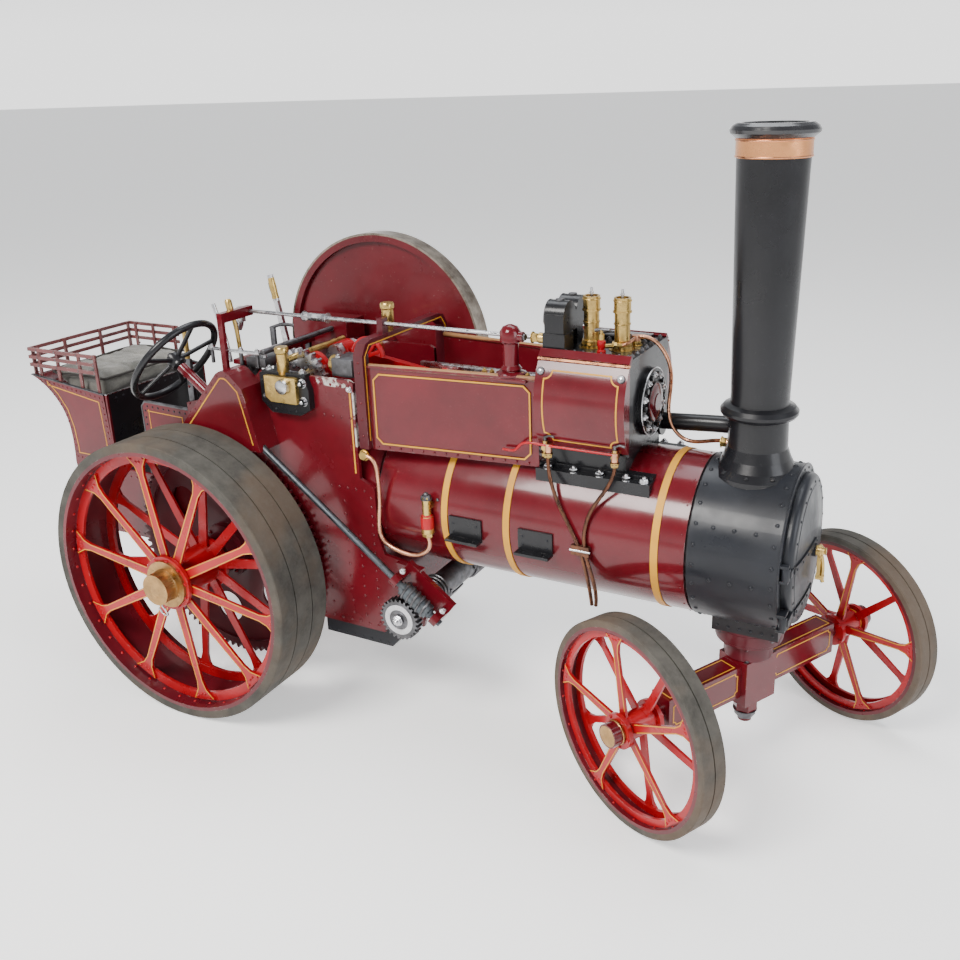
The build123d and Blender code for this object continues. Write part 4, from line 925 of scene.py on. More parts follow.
for y in range(-54, 55, 18):
    for x in (555, 674):
        if x != 555 or y > 25:
            nut(dark, (x, y, 600.2), (0, 0, 1), 3.0, 3.0)
lathe(black, (679, 0, SHAFT_Z), (1, 0, 0), [(0, 0), (46.4, 0), (46.4, 4.6), (44, 6.4), (0, 6.4)], 48)
for n in range(10):
    a = radians(36 * n + 18)
    nut(steel, (685, 38 * cos(a), SHAFT_Z + 38 * sin(a)), (1, 0, 0), 4.4, 3.6)
lathe(
    maroon, (685, 0, SHAFT_Z), (1, 0, 0),
    [(0, 0), (27, 0), (28.2, 3), (24, 5.4), (12, 6.2), (12, 7.4), (0, 7.4)], 40,
)
tube(
    steel, [(685.4, 47.0 * cos(2 * pi * k / 64), SHAFT_Z + 47.0 * sin(2 * pi * k / 64)) for k in range(64)],
    0.9, 6, True, 0,
)
# rear cover and gland
for n in range(8):
    a = radians(45 * n + 22)
    nut(steel, (549.8, 28 * cos(a), SHAFT_Z + 28 * sin(a)), (-1, 0, 0), 3.0, 2.6)
# safety valves
for x in (602, 646):
    for z, r, h in ((606, 13, 4), (634, 11.4, 1.6), (650, 12.6, 2.4), (665, 12.4, 1.6)):
        lathe(brass, (x, -18, z), (0, 0, 1), [(9, 0), (r, 0), (r + 0.3, h / 2), (r, h), (9, h), (9, 0)], 32)
    nut(brass, (x, -18, 600.4), (0, 0, 1), 15.5, 5.5, False)
    rod(steel, (x, -18, 664), (x, -18, 681), 1.9)
    rod(steel, (x, -18, 673), (x, -18, 675), 3.2)
# twin-arched lubricator with its round sight glass
for y in (-43, -1):
    lathe(dark, (552.6, y, 646), (-1, 0, 0), [(0, 0), (20.4, 0), (20.4, 1.0), (18, 1.8), (0, 1.8)], 40)
lathe(
    steel, (551, -43, 641), (-1, 0, 0),
    [(11.5, 0), (12.5, 2.6), (11.8, 4.2), (9.8, 4.2), (9.4, 2.6), (9.4, 0), (11.5, 0)], 36,
)
for n in range(4):
    a = radians(90 * n + 45)
    rivet(steel, (550.8, -43 + 15.5 * cos(a), 634 + 15.5 * sin(a)), (-1, 0, 0), 1.7)
rod(dark, (567, -43, 664), (567, -43, 668), 6)
rod(dark, (567, -1, 664), (567, -1, 668), 6)
# blower cock with its red body, brass union and handle
lathe(
    red, (628, -47, 600), (0, 0, 1),
    [(0, 0), (6, 0), (6, 3), (4.2, 5), (5.6, 10), (5.6, 16), (3.4, 18), (0, 18)], 20,
)
lathe(brass, (628, -47, 618), (0, 0, 1), [(0, 0), (4, 0), (4, 7), (2.2, 9), (2.2, 13), (0, 13)], 16)
tube(dark, [(619, -47, 630), (628, -47, 631.5), (640, -47, 632)], 2.2)
rod(brass, (628, -47, 609), (652, -34, 609), 3.0)
tube(copper, [(650, -35, 609), (656, -25, 610), (657, -5, 611), (655, 8, 611)], 2.4)
nut(brass, (641, -40, 609), (0.87, 0.47, 0), 5.0, 6, False)
for x in (585, 612, 640, 664):
    nut(dark, (x, 20, 600.2), (0, 0, 1), 4.0, 4)
    nut(brass, (x - 8, 44, 600.2), (0, 0, 1), 3.4, 4)
tube(dark, [(590, 30, 606), (610, 34, 610), (640, 32, 609), (668, 30, 604)], 2.0)
brick(black, (586, 26, 600), (664, 60, 606), 1.5)
# exhaust pipe from the cylinder to the smokebox on the far side
tube(black, [(680, 54, 482), (704, 52, 484), (776, 50, 489), (800, 38, 490), (815, 20, 490)], 12, 24)
lathe(black, (679, 52, 480), (1, 0, 0), [(0, 0), (18, 0), (18, 4), (0, 4)], 32)

# ---- Motion, bearings and the clutter above the hornplates --------------------------------------
for s in (-1, 1):
    y = s * 128 if s < 0 else 120
    for x, z in ((188, 532), (188, 504)):
        nut(steel, (x, y, z), (0, s, 0), 6.2, 5)
    nut(dark, (116, y, 506), (0, s, 0), 3.6, 3)
    rivets_on(black_rivets, [(112, 530), (134, 487), (172, 487)], wall(s, abs(y)), 1.9)
lathe(steel, (158, -135, SHAFT_Z), (0, -1, 0), [(0, 0), (11.5, 0), (12, 2), (10.5, 7), (6, 9), (0, 9)], 32)
brick(black, (110, -126, 536), (192, -112, 545), 1.6)
for x in (120, 182):
    nut(steel, (x, -119, 545), (0, 0, 1), 4.6, 4)
# oil cup lids and tops
for x, y, z in ((150, -122, 541), (284, -36, 600)):
    lathe(
        brass, (x, y, z), (0, 0, 1),
        [(0, 0), (7.5, 0), (7.5, 4), (9, 6), (9, 32), (10.6, 34), (10.6, 40), (9.2, 42), (0, 42)], 32,
    )
# cross tube, stretcher plates and small motion levers
rod(brass, (150, -112, 561), (150, 30, 561), 5.2)
rod(dark, (100, -108, 566), (100, 100, 566), 4.2)
brick(maroon, (36, -104, 541), (62, 104, 549), 1.5)
brick(dark, (66, -108, 541), (104, -60, 556), 2.0)
brick(dark, (225, -104, 541), (262, -60, 568), 2.0)
brick(steel, (-6, -112, 562), (96, -105, 566), 0.8)
for x in (0, 28, 58, 90):
    nut(steel, (x, -108.5, 566), (0, 0, 1), 3.8, 3.2)
    rod(dark, (x, -108.5, 541), (x, -108.5, 562), 2.8)
for x, y, z in ((233, -96, 568), (254, -68, 568), (74, -76, 556), (96, -100, 556)):
    nut(steel, (x, y, z), (0, 0, 1), 4.0, 3.6)
lathe(brass, (226, -84, 555), (-1, 0, 0), [(0, 0), (13, 0), (13, 11), (11, 13.5), (5, 14), (0, 14)], 36)
rod(dark, (234, -58, 556), (234, -40, 556), 9)
for n in range(5):
    a = radians(20 + 35 * n)
    brick(
        red, (-3, -5, -3), (3, 5, 24), 0.8,
        Matrix.Translation((240, -30, 556)) @ Matrix.Rotation(a - pi / 2, 4, "Y"),
    )
tube(
    red, [(240 + 26 * cos(radians(a)), -30, 556 + 26 * sin(radians(a))) for a in range(0, 181, 15)], 4.2, 12,
    False, 0,
)
# regulator stuffing box, quadrant and rear levers
lathe(
    brass, (544, -52, 614), (-1, 0, 0),
    [(0, -6), (7.5, -6), (7.5, 4), (5.2, 6), (5.2, 12), (3.6, 13), (3.6, -6)], 24,
)
nut(brass, (530, -52, 614), (1, 0, 0), 7.0, 8, False)
tube(steel, [(24, -96, 541), (18, -96, 580), (6, -97, 620), (2, -97, 632)], 3.2)
tube(brass, [(30, -78, 541), (26, -78, 590), (18, -78, 624)], 3.4)
lathe(brass, (18, -78, 620), (-0.2, 0, 1), [(0, 0), (5.5, 0), (5.5, 14), (3.5, 17), (0, 17)], 20)
rod(brass, (-58, -105, 541), (-58, -105, 588), 4.0)
lathe(brass, (-58, -105, 586), (0, 0, 1), [(0, 0), (5.6, 0), (5.6, 4), (0, 7)], 20)
brick(dark, (-64, -108, 470), (-52, -102, 541), 1.0)
tube(dark, [(-56, 94, 548), (-30, 94, 556), (0, 94, 556), (26, 94, 548)], 3.0)
brick(dark, (20, 91, 500), (30, 97, 550), 1.0)
brick(dark, (-56, 91, 470), (-46, 97, 550), 1.0)
# pump column on the right motion plate
lathe(
    maroon, (505, -70, 564), (0, 0, 1),
    [
        (0, 0), (21, 0), (21, 3), (13, 6), (15, 9), (11, 14), (11, 44), (14.5, 47), (14.5, 60), (10, 67),
        (3, 70), (0, 70),
    ],
    36,
)
brick(maroon, (455, -88, 558), (535, -58, 563), 1.2)
for x in (463, 475, 522, 530):
    nut(brass, (x, -70, 563), (0, 0, 1), 3.6, 4)
rod(maroon, (505, -70, 618), (525, -70, 618), 7)
lathe(dark, (525, -70, 618), (1, 0, 0), [(0, 0), (5, 0), (5, 3), (0, 4)], 6)

# ---- Fittings on the firebox back ---------------------------------------------------------------
back = facing(150, -1)
stays = [
    (y, z)
    for y in range(-90, 91, 20) for z in range(165, 441, 22) if hypot(y, z - 300) > 44 and hypot(
        y, max(0, z - BARREL_Z),
    ) < 96
]
rivets_on(black_rivets, stays, back, 1.8)
for y in (-62, 62):
    lathe(brass, (150, y, 378), (-1, 0, 0), [(0, 0), (6, 0), (6, 8), (4, 10), (4, 16), (0, 16)], 20)
    lathe(brass, (150, y, 414), (-1, 0, 0), [(0, 0), (6, 0), (6, 8), (4, 10), (4, 16), (0, 16)], 20)
    rod(brass, (139, y, 370), (139, y, 384), 5)
    rod(brass, (139, y, 408), (139, y, 424), 5)
glass_piece = batch("gauge_glass", CHASSIS, None, "bright_steel")
for y in (-62, 62):
    rod(glass_piece, (139, y, 383), (139, y, 409), 2.6)
lathe(brass, (146, 0, 428), (-1, 0, 0), [(0, 0), (19, 0), (20, 5), (18, 8), (16.4, 8), (16.4, 6), (0, 6)], 40)
dial = batch("gauge_face", CHASSIS, CREAM, "bright_steel")
lathe(dial, (139.9, 0, 428), (-1, 0, 0), [(0, -0.5), (16.2, -0.5), (16.2, 0.5), (0, 0.5)], 40)
for n in range(9):
    a = radians(-120 + 30 * n)
    brick(
        black, (-0.4, -0.5, 11), (0.4, 0.5, 15), 0.1,
        Matrix.Translation((139.3, 0, 428)) @ Matrix.Rotation(a, 4, "X"),
    )
brick(
    black, (-0.4, -0.6, -4), (0.4, 0.6, 12), 0.1,
    Matrix.Translation((139.0, 0, 428)) @ Matrix.Rotation(radians(-50), 4, "X"),
)
tube(copper, [(148, 0, 405), (141, 8, 398), (143, 0, 390), (149, -6, 396)], 2.0)
hinges = batch("firehole_straps", "firehole_door_body", BLACK_DULL, "black_paint")
for z in (289, 311):
    strip(hinges, [(Vector((144.2, y, z)), Vector((-1, 0, 0))) for y in (-34, 22)], 6, 1.6)
    for y in (-26, -8, 12):
        rivet(hinges, (142.6, y, z), (-1, 0, 0), 1.6)

# ---- Ashpan -------------------------------------------------------------------------------------
for s in (-1, 1):
    rivets_on(black_rivets, [(x, 131) for x in range(176, 290, 14)], wall(s, 100), 1.7)
    rivets_on(black_rivets, [(x, 108) for x in range(176, 296, 16)], wall(s, 100), 1.7)

# ---- Gear guard ---------------------------------------------------------------------------------
GUARD = [
    (-34, 425), (-29, 453), (50, 541), (57, 545), (69, 545), (77, 541), (98, 522), (105, 495), (122, 425),
]
guard_in = inset(GUARD, 10)
line_on(gold, guard_in, wall(-1, 160), 2.0, 0.3, False)
rivets_on(maroon_rivets, spaced(inset(GUARD, 4)[1:-1], 20), wall(-1, 160), 1.6)

# ---- Wheels -------------------------------------------------------------------------------------
def wheel_frame(centre_point, x_axis, out):
    y_axis = out.cross(x_axis)
    m = Matrix((
        (
            x_axis.x, y_axis.x, out.x, 0,
        ), (x_axis.y, y_axis.y, out.y, 0), (x_axis.z, y_axis.z, out.z, 0), (0, 0, 0, 1),
    ))
    return Matrix.Translation(centre_point) @ m @ Matrix.Scale(MM, 4)


def dress_wheel(tag, body, place, spec, cap):
    """Spoke lining, foot and rim rivets and hub bolts for one wheel, in its own frame with z outwards."""
    rim_in, tee_r, tee_z, count, hub_r, hub_out, hub_len, bar, line_w, rv = spec
    lines = batch(f"lining_{tag}", body, GOLD, "brass", place)
    bolts = batch(f"rivets_{tag}", body, RED, "wheel_red", place)
    reach = tee_r + (rim_in - tee_r) * 0.7
    for sign in (1, -1):
        face_z = tee_z + 2 + 4 if sign > 0 else -tee_z - 2 - 4
        up = Vector((0, 0, sign))
        first = 100 if sign > 0 else 100 + 180 / count
        for n in range(count):
            a = radians(first + 360 / count * n)
            radial, across = Vector((cos(a), sin(a), 0)), Vector((-sin(a), cos(a), 0))
            for e in (-1, 1):
                d = line_w * 0.9
                path = [
                    (hub_r * 0.93 + 3, bar * 0.95 - d), (tee_r - bar * 2.4, bar * 0.72 - d),
                    (tee_r - bar * 0.7, bar * 1.1 - d), (reach - d, bar * 2.6 - d * 1.9),
                ]
                strip(
                    lines, [(radial * r + across * e * w + up * abs(face_z), up) for r, w in path], line_w,
                    0.25,
                )
            for r, w in (
                (reach - rv * 1.9, bar * 1.55), (reach - rv * 1.9, -bar * 1.55), (tee_r + 1.5, bar * 0.42),
                (tee_r + 1.5, -bar * 0.42),
            ):
                rivet(bolts, radial * r + across * w + up * abs(face_z), up, rv)
            b = a + radians(180 / count)
            hub_z = hub_out if sign > 0 else hub_out - hub_len
            nut(
                bolts, Vector((cos(b), sin(b), 0)) * (hub_r * 0.86) + Vector((0, 0, hub_z)), up, rv * 1.25,
                rv * 1.1, False,
            )
    for z in ((-tee_z - 9, tee_z + 9) if tee_z > 20 else (-tee_z - 5, tee_z + 5)):
        for k in range(count * 4):
            t = 2 * pi * (k + 0.5) / (count * 4)
            rivet(bolts, (rim_in * cos(t), rim_in * sin(t), z), (-cos(t), -sin(t), 0), rv * 0.95)
    ring = [
        (
            Vector((cos(t), sin(t), 0)) * hub_r * 0.74 + Vector((0, 0, hub_out - 9)),
            Vector((cos(t), sin(t), 0)),
        )
        for t in circle(48)
    ]
    strip(lines, ring, line_w, 0.25, True)
    brasses = batch(f"cap_{tag}", body, BRASS_OLD, "brass", place)
    r, z0, z1 = cap
    lathe(
        brasses, (0, 0, z0), (0, 0, 1),
        [
            (0, 0), (r + 0.8, 0), (r + 0.8, 2.0), (r, 3.2), (r, z1 - z0 - 2), (r - 1.6, z1 - z0 - 0.2),
            (r * 0.45, z1 - z0 + 0.2), (r * 0.4, z1 - z0 - 0.8), (0, z1 - z0 - 0.8),
        ],
        40,
    )


for s, name in ((-1, "right"), (1, "left")):
    place = wheel_frame(Vector((RX, s * 219.5 * MM, REAR.z)), Vector((1, 0, 0)), Vector((0, s, 0)))
    dress_wheel(
        f"rear_{name}", "rear_axle_set", place, (209.0, 193.0, 30.5, 10, 44.0, 44.0, 88.0, 8.5, 1.4, 2.5),
        (25, 48.5, 69.5),
    )
    middle = at_front(0, s * 213.1, FRONT_AXLE_Z)
    place = wheel_frame(middle, Vector((cos(STEER), sin(STEER), 0)), AXLE_DIR * s)
    dress_wheel(
        f"front_{name}", f"front_wheel_{name}_set", place,
        (131.5, 121.0, 10.0, 5, 24.0, 27.0, 59.0, 6.5, 1.2, 1.9), (15, 27.5, 28.5),
    )
clips = batch("hub_clips", "rear_axle_set", STEEL, "bright_steel")
tube(clips, [(10, -289, 206), (16, -288, 197), (14, -284, 188), (4, -282, 186), (-4, -284, 196)], 1.6)

gearing = batch("final_gear_bolts", "rear_axle_set", MAROON, "maroon_paint")
for n in range(6):
    a = radians(60 * n + 8)
    nut(gearing, (38 * cos(a), -140, 228.6 + 38 * sin(a)), (0, -1, 0), 3.6, 3)

# front axle
axle = batch("front_axle_lining", "front_axle_set", GOLD, "brass", FRONT)
for s in (-1, 1):
    for x in (17, -17):
        n = (1 if x > 0 else -1, 0, 0)
        pts = notched(*sorted((s * 38, s * 158)), 129, 163, 5)
        flat_strip(axle, [(x, y, z) for y, z in pts], n, 1.6, 0.25, True)
    strip(
        axle,
        [
            (Vector((x, s * y, 170)), Vector((0, 0, 1)))
            for x, y in ((-12, 40), (12, 40), (12, 160), (-12, 160))
        ],
        1.6, 0.25, True,
    )
axle_nuts = batch("front_axle_nuts", "front_axle_set", STEEL_DARK, "dark_iron", FRONT)
nut(axle_nuts, (0, 0, 84), (0, 0, -1), 15, 12)
for s in (-1, 1):
    for x in (-20, 20):
        nut(axle_nuts, (x, s * 24, 177), (0, 0, 1), 4, 3)
caps = batch("front_axle_caps", "front_axle_set", BRASS_OLD, "brass", FRONT)
for s in (-1, 1):
    lathe(
        caps, (0, s * 241, FRONT_AXLE_Z), (0, s, 0),
        [(0, 0), (16.8, 0), (16.8, 2.4), (15.6, 3.6), (15.6, 15.4), (14, 17.0), (7, 17.6), (0, 17.6)], 36,
    )
    lathe(axle_nuts, (0, s * 183, FRONT_AXLE_Z), (0, s, 0), [(0, 0), (13, 0), (13, 4), (0, 4)], 30)
for s in (-1, 1):
    for x in (800, 872):
        nut(dark, (x, s * 40, 226), (0, 0, -1), 4.2, 3.6)
    rivets_on(black_rivets, [(x, 234) for x in range(799, 880, 15)], wall(s, 46), 2.2)
turntable = batch("turntable_ring", CHASSIS, MAROON_DARK, "maroon_paint")
lathe(
    turntable, (832, 0, 203), (0, 0, 1),
    [(30, 0), (43, 0), (47, 4), (47.6, 12), (46.5, 20), (44, 22), (30, 22), (30, 0)], 48,
)
for n in range(8):
    a = radians(45 * n + 10)
    nut(turntable, (832 + 40 * cos(a), 40 * sin(a), 203.4), (0, 0, -1), 3.6, 3)

# ---- Steering -----------------------------------------------------------------------------------
LEAN = radians(37.6)
COLUMN = Vector((cos(LEAN), 0, -sin(LEAN)))
HUB = Vector((-42, -148, 551))
worm = batch("worm_thread", "steering_shaft_set", STEEL_DARK, "bright_steel")
turns = []
for k in range(0, 5 * 24 + 1):
    a = 2 * pi * k / 24
    p = HUB + COLUMN * (529.7 - 24 + 48 * k / 120)
    u = Vector((0, 1, 0))
    v = COLUMN.cross(u)
    turns.append(p + (u * cos(a) + v * sin(a)) * 11.9)
tube(worm, turns, 2.1, 8, False, 0)
grip = batch("steering_rim_fittings", "steering_shaft_set", BLACK, "black_paint")
lathe(
    grip, HUB + COLUMN * -7, COLUMN, [(0, 0), (9, 0), (12.6, 3), (12.6, 15), (9, 20), (5.4, 22), (0, 22)], 32,
)
nut(grip, HUB + COLUMN * -6, -COLUMN, 6, 5)
for t in (488, 570):
    p = HUB + COLUMN * t
    nut(
        steel, p + Vector((sin(LEAN), 0, cos(LEAN))) * 22.5 + Vector((0, -2, 0)), (sin(LEAN), 0, cos(LEAN)),
        4.6, 4,
    )
barrel_nut = batch("worm_wheel_nut", "chain_barrel_body", STEEL, "bright_steel")
nut(barrel_nut, (350, -158, 192), (0, -1, 0), 7, 5)
lathe(barrel_nut, (350, -155, 192), (0, -1, 0), [(16, 0), (24, 0), (24, 0.8), (16, 0.8), (16, 0)], 40)
chain = batch("barrel_wrap", "chain_barrel_body", STEEL_DARK, "dark_iron")
for y0, y1 in ((-96, -40), (40, 96)):
    coil = []
    for k in range(0, 7 * 20 + 1):
        a = 2 * pi * k / 20
        coil.append((350 + 22.2 * cos(a), y0 + (y1 - y0) * k / 140, 192 + 22.2 * sin(a)))
    tube(chain, coil, 2.4, 8, False, 0)

# ---- Flywheel and running gear ------------------------------------------------------------------
fly = batch("flywheel_lining", "crankshaft_set", GOLD, "brass")
ring = [(Vector((158 + 168 * cos(t), 148, SHAFT_Z + 168 * sin(t))), Vector((0, 1, 0))) for t in circle(128)]
strip(fly, ring, 1.8, 0.25, True)
fly_nut = batch("flywheel_hub_fittings", "crankshaft_set", STEEL, "bright_steel")
lathe(fly_nut, (158, 158, SHAFT_Z), (0, 1, 0), [(0, 0), (16, 0), (16, 3), (13, 4), (0, 4)], 6)
brick(fly_nut, (152, 150, 533), (164, 161, 539), 0.8)
crank_bits = batch("crank_fittings", "crankshaft_set", STEEL_DARK, "bright_steel")
for n in range(6):
    a = radians(60 * n)
    nut(crank_bits, (158 + 22 * cos(a), -94, SHAFT_Z + 22 * sin(a)), (0, -1, 0), 2.6, 2)
con = batch("rod_bolts", "connecting_rod_body", STEEL, "bright_steel")
for s in (-1, 1):
    nut(con, (172 + 4, s * 12, 562), (0, s, 0), 3, 2.4)
    nut(con, (172 + 4, s * 12, 540), (0, s, 0), 3, 2.4)
    lathe(con, (350.4, s * 12, SHAFT_Z), (0, s, 0), [(0, 0), (8, 0), (8, 1.6), (0, 2.2)], 24)
ecc = batch("eccentric_bolts", "eccentric_rod_body", STEEL, "bright_steel")
for s in (-1, 1):
    nut(ecc, (150.5 + 2, -50.5 + s * 4.6, 528.7 + 27.5), (0, s, 0), 2.6, 1.6)
regulator = batch("regulator_coupling", "regulator_body", STEEL, "bright_steel")
nut(regulator, (142, -52, 614), (1, 0, 0), 7.0, 9, False)
nut(regulator, (186, -52, 614), (-1, 0, 0), 7.0, 9, False)
rod(regulator, (148, -52, 614), (180, -52, 614), 5.4)
lathe(regulator, (11, -52, 594), (-0.3, 0, -1), [(0, -6), (5.4, -6), (6, 4), (4.4, 12), (0, 13)], 20)
lever = batch("lever_grip", "reversing_lever_body", BRASS, "brass")
lathe(
    lever, (-42.5, 100.5, 600), (-0.185, 0, 0.983),
    [(0, 0), (6.4, 0), (6.4, 3), (5.9, 5), (6.2, 22), (5.6, 36), (4, 40.5), (0, 41)], 24,
)
latch = batch("lever_latch", "reversing_lever_body", STEEL_DARK, "dark_iron")
tube(latch, [(-22, 106.5, 470), (-36, 106.5, 560), (-46, 106.5, 590), (-56, 106, 612), (-58, 105, 626)], 2.0)

# ---- Pipes: unions on the copper pipes and the clack --------------------------------------------
for x, turn in ((568, 1), (664, -1)):
    nut(brass, (x, -88, 464), (0, 0, -1), 5.4, 6, False)
rod(steel, (612, -119.6, 343), (642, -119.6, 343), 1.6)
lathe(red, (386, -118, 330), (0, 0, 1), [(0, 0), (7.2, 0), (9.6, 3), (9.6, 20), (7.2, 24), (0, 24)], 24)
nut(brass, (386, -118, 326), (0, 0, -1), 8.4, 7, False)
nut(dark, (386, -118, 378), (0, 0, 1), 7.4, 6)
nut(brass, (284, -119, 431), (0, -1, 0), 7.5, 6, False)
nut(brass, (776, 20, 474), (1, 0, 0), 7, 7, False)
nut(brass, (655, 10, 600.2), (0, 0, 1), 8, 6, False)

# ---- Cushion ------------------------------------------------------------------------------------
def simulate_cushion(cushion, cap):
    rest = [v.co.copy() for v in cushion.data.vertices]
    cloth = cushion.modifiers.new("Cloth", "CLOTH")
    cloth.settings.use_pressure = True
    cloth.settings.uniform_pressure_force = 4.0
    cloth.settings.quality = 5
    cloth.settings.effector_weights.gravity = 0
    cloth.point_cache.frame_start = 1
    cloth.point_cache.frame_end = 20
    for number in range(1, 21):
        bpy.context.scene.frame_set(number)
    shaped = bpy.data.meshes.new_from_object(cushion.evaluated_get(bpy.context.evaluated_depsgraph_get()))
    for v, home in zip(shaped.vertices, rest):
        move = v.co - home
        if move.length > cap:
            v.co = home + move * (cap / move.length)
    cushion.modifiers.remove(cloth)
    cushion.data = shaped
    bpy.context.scene.frame_set(1)


def make_cushion():
    outline = [(-266, 450), (-338, 450), (-366, 463), (-398, 481), (-397, 487), (-266, 484)]
    bm = bmesh.new()
    slab(bm, outline, lambda u, v: (at(u, -99, v), Vector((0, -1, 0))), 198 * MM)
    bmesh.ops.recalc_face_normals(bm, faces=bm.faces)
    mesh = bpy.data.meshes.new("tender_cushion")
    bm.to_mesh(mesh)
    bm.free()
    cushion = bpy.data.objects.new("tender_cushion", mesh)
    bpy.context.scene.collection.objects.link(cushion)
    remesh = cushion.modifiers.new("Remesh", "REMESH")
    remesh.mode = "VOXEL"
    remesh.voxel_size = 5 * MM
    solid = bpy.data.meshes.new_from_object(cushion.evaluated_get(bpy.context.evaluated_depsgraph_get()))
    cushion.modifiers.remove(remesh)
    cushion.data = solid
    simulate_cushion(cushion, 7 * MM)
    # soft puckers along the sewn edge and two cross seams pressed into the top
    for v in cushion.data.vertices:
        x, y, z = (v.co.x - RX) / MM, v.co.y / MM, v.co.z / MM
        ripple = sin(x * 0.21 + 1.3) * sin(y * 0.17) * 1.3 + sin(x * 0.47 + y * 0.31) * 0.6
        if z > 466:
            press = sum(max(0.0, 1 - abs(y - row) / 6.0) for row in (-33, 33)) * 4.0
            v.co.z += (ripple - press) * MM
    cushion.data.shade_smooth()
    smooth = cushion.modifiers.new("Subdivision", "SUBSURF")
    smooth.levels = smooth.render_levels = 1
    cushion.data.materials.clear()
    cushion.data.materials.append(CANVAS)
    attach(cushion, CHASSIS)
    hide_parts("seat_cushion")
    piping = batch("cushion_piping", CHASSIS, PIPING, "cushion_cloth")
    loop = [
        (-268, -97, 482), (-268, 97, 482), (-300, 99, 484), (-394, 97, 485), (-396, 0, 486), (-394, -97, 485),
        (-300, -99, 484),
    ]
    tube(piping, loop + [loop[0]], 2.2, 8)


def canvas_cloth():
    s = Shader("mottled_canvas", (0.12, 0.115, 0.10), 0.92, spec=0.2)
    blot = s.ramp(
        s.noise(16, 6, 0.7), (0.34, (0.05, 0.05, 0.043)), (0.52, (0.12, 0.115, 0.10)),
        (0.72, (0.23, 0.22, 0.19)),
    )
    weave_x = s.math("SINE", s.math("MULTIPLY", s.axis(0), 2 * pi / (1.1 * MM)))
    weave_y = s.math("SINE", s.math("MULTIPLY", s.axis(1), 2 * pi / (1.1 * MM)))
    weave = s.math("MULTIPLY", weave_x, weave_y)
    s.color(s.mix(s.math("MULTIPLY_ADD", weave, 0.10, 0.10), blot, (0.26, 0.25, 0.22)))
    s.bump(weave, 0.25 * MM, 0.6)
    s.bump(s.noise(60, 5, 0.6), 0.8 * MM, 0.5)
    s.p.inputs["Sheen Weight"].default_value = 0.3
    s.p.inputs["Sheen Roughness"].default_value = 0.5
    return s.mat


CANVAS = canvas_cloth()
PIPING = paint("dark_piping", (0.05, 0.045, 0.04), (0.025, 0.022, 0.02), 0.8, 0.0, 0)
make_cushion()

GLASS = Shader("gauge_glass", (0.9, 0.95, 0.92), 0.08)
GLASS.p.inputs["Transmission Weight"].default_value = 0.9
GLASS.p.inputs["IOR"].default_value = 1.45
GLASS.rough(GLASS.noise(40, 3), 0.04, 0.14)
for name, (bm, body, material, slot, place) in batches.items():
    bmesh.ops.recalc_face_normals(bm, faces=bm.faces)
    bm.transform(place)
    if place.determinant() < 0:
        bmesh.ops.reverse_faces(bm, faces=bm.faces)
    mesh = bpy.data.meshes.new(name)
    bm.to_mesh(mesh)
    bm.free()
    mesh.materials.append(material or GLASS.mat)
    mesh.shade_smooth()
    mesh.set_sharp_from_angle(angle=radians(38))
    piece = bpy.data.objects.new(name, mesh)
    bpy.context.scene.collection.objects.link(piece)
    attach(piece, body)

# ---- Stage, light and camera --------------------------------------------------------------------
floor_mesh = bpy.data.meshes.new("floor")
size = 250.0
floor_mesh.from_pydata(
    [(-size, -size, 0), (size, -size, 0), (size, size, 0), (-size, size, 0)], [], [(0, 1, 2, 3)],
)
floor = bpy.data.objects.new("floor", floor_mesh)
bpy.context.scene.collection.objects.link(floor)
pale = Shader("floor_pale", (0.86, 0.86, 0.85), 0.7, spec=0.2)
pale.p.inputs["Emission Color"].default_value = (1, 1, 1, 1)
pale.p.inputs["Emission Strength"].default_value = 0.6
floor_mesh.materials.append(pale.mat)

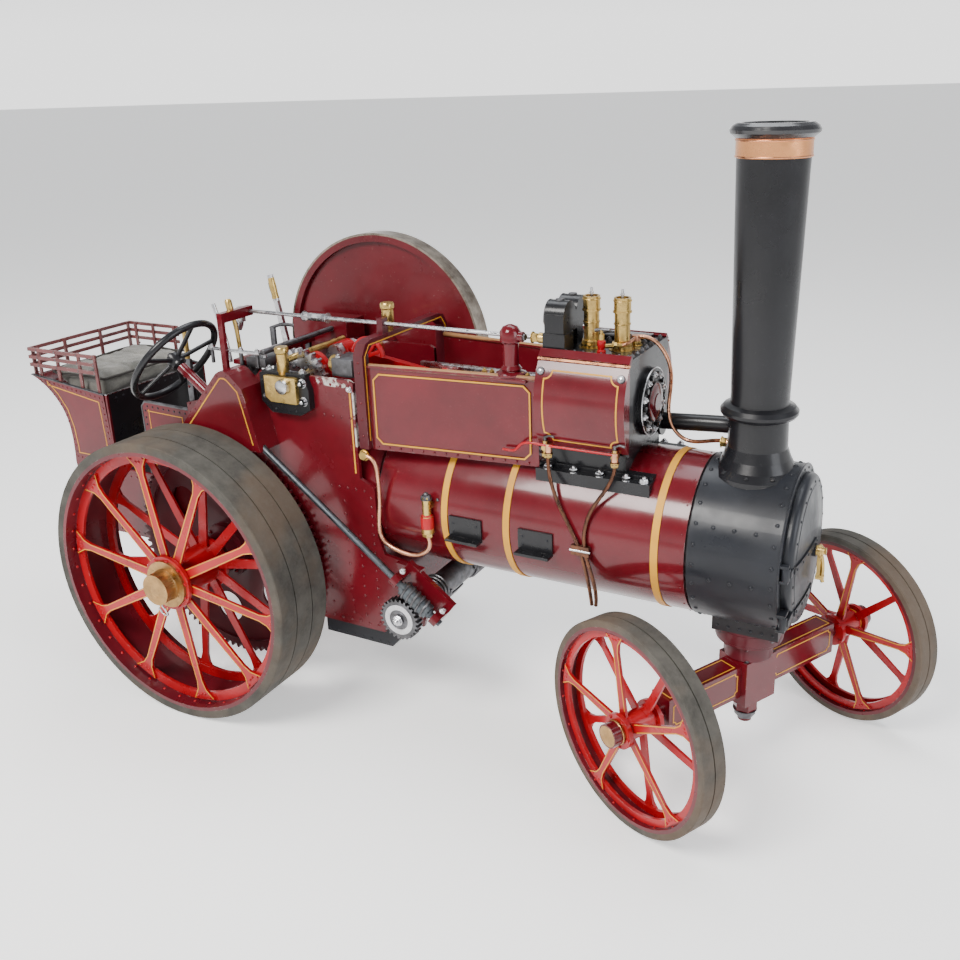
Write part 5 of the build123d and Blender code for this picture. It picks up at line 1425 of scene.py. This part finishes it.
world = bpy.data.worlds.new("studio")
bpy.context.scene.world = world
world.use_nodes = True
tree = world.node_tree
height = tree.nodes.new("ShaderNodeSeparateXYZ")
tree.links.new(tree.nodes.new("ShaderNodeTexCoord").outputs["Generated"], height.inputs[0])
glow = tree.nodes.new("ShaderNodeValToRGB")
tree.links.new(height.outputs["Z"], glow.inputs["Fac"])
glow.color_ramp.elements[0].position, glow.color_ramp.elements[0].color = 0.06, (1.0, 1.0, 1.0, 1)
glow.color_ramp.elements[1].position, glow.color_ramp.elements[1].color = 0.34, (0.20, 0.205, 0.215, 1)
tree.links.new(glow.outputs["Color"], tree.nodes["Background"].inputs["Color"])
tree.nodes["Background"].inputs["Strength"].default_value = 2.0


def area_light(name, place, target, size, power, tint=(1, 1, 1)):
    data = bpy.data.lights.new(name, "AREA")
    data.shape = "RECTANGLE"
    data.size, data.size_y = size
    data.energy = power
    data.color = tint
    lamp = bpy.data.objects.new(name, data)
    bpy.context.scene.collection.objects.link(lamp)
    lamp.location = place
    lamp.rotation_euler = (Vector(target) - Vector(place)).to_track_quat("-Z", "Y").to_euler()


MIDDLE = (0, 0, 0.4)
area_light("key", (-0.5, -2.4, 2.9), MIDDLE, (1.6, 1.2), 190, (1.0, 0.975, 0.94))
area_light("fill", (3.2, -0.4, 1.7), MIDDLE, (1.6, 1.6), 46, (0.92, 0.95, 1.0))
area_light("top", (0.1, 0.9, 3.2), MIDDLE, (3.2, 1.4), 75, (0.93, 0.96, 1.0))

YAW, PITCH, ROLL = radians(27.83), radians(-18.74), radians(-1.65)
FOCAL_PX, CENTRE_X, CENTRE_Y, FRAME_PX = 996.56, 508.24, 429.78, 960
camera_data = bpy.data.cameras.new("camera")
camera = bpy.data.objects.new("camera", camera_data)
bpy.context.scene.collection.objects.link(camera)
bpy.context.scene.camera = camera
forward = Vector((-sin(YAW) * cos(PITCH), cos(YAW) * cos(PITCH), sin(PITCH)))
right = forward.cross(Vector((0, 0, 1))).normalized()
up = right.cross(forward)
right, up = right * cos(ROLL) + up * sin(ROLL), up * cos(ROLL) - right * sin(ROLL)
camera.matrix_world = Matrix.Translation(at(1113.45, -1236.43, 930.28)) @ Matrix(
    (
        (right.x, up.x, -forward.x, 0), (right.y, up.y, -forward.y, 0), (right.z, up.z, -forward.z, 0),
        (0, 0, 0, 1),
    )
)
camera_data.sensor_width = 36
camera_data.lens = FOCAL_PX / FRAME_PX * 36
camera_data.shift_x = -(CENTRE_X - FRAME_PX / 2) / FRAME_PX
camera_data.shift_y = (CENTRE_Y - FRAME_PX / 2) / FRAME_PX
camera_data.clip_end = 1000
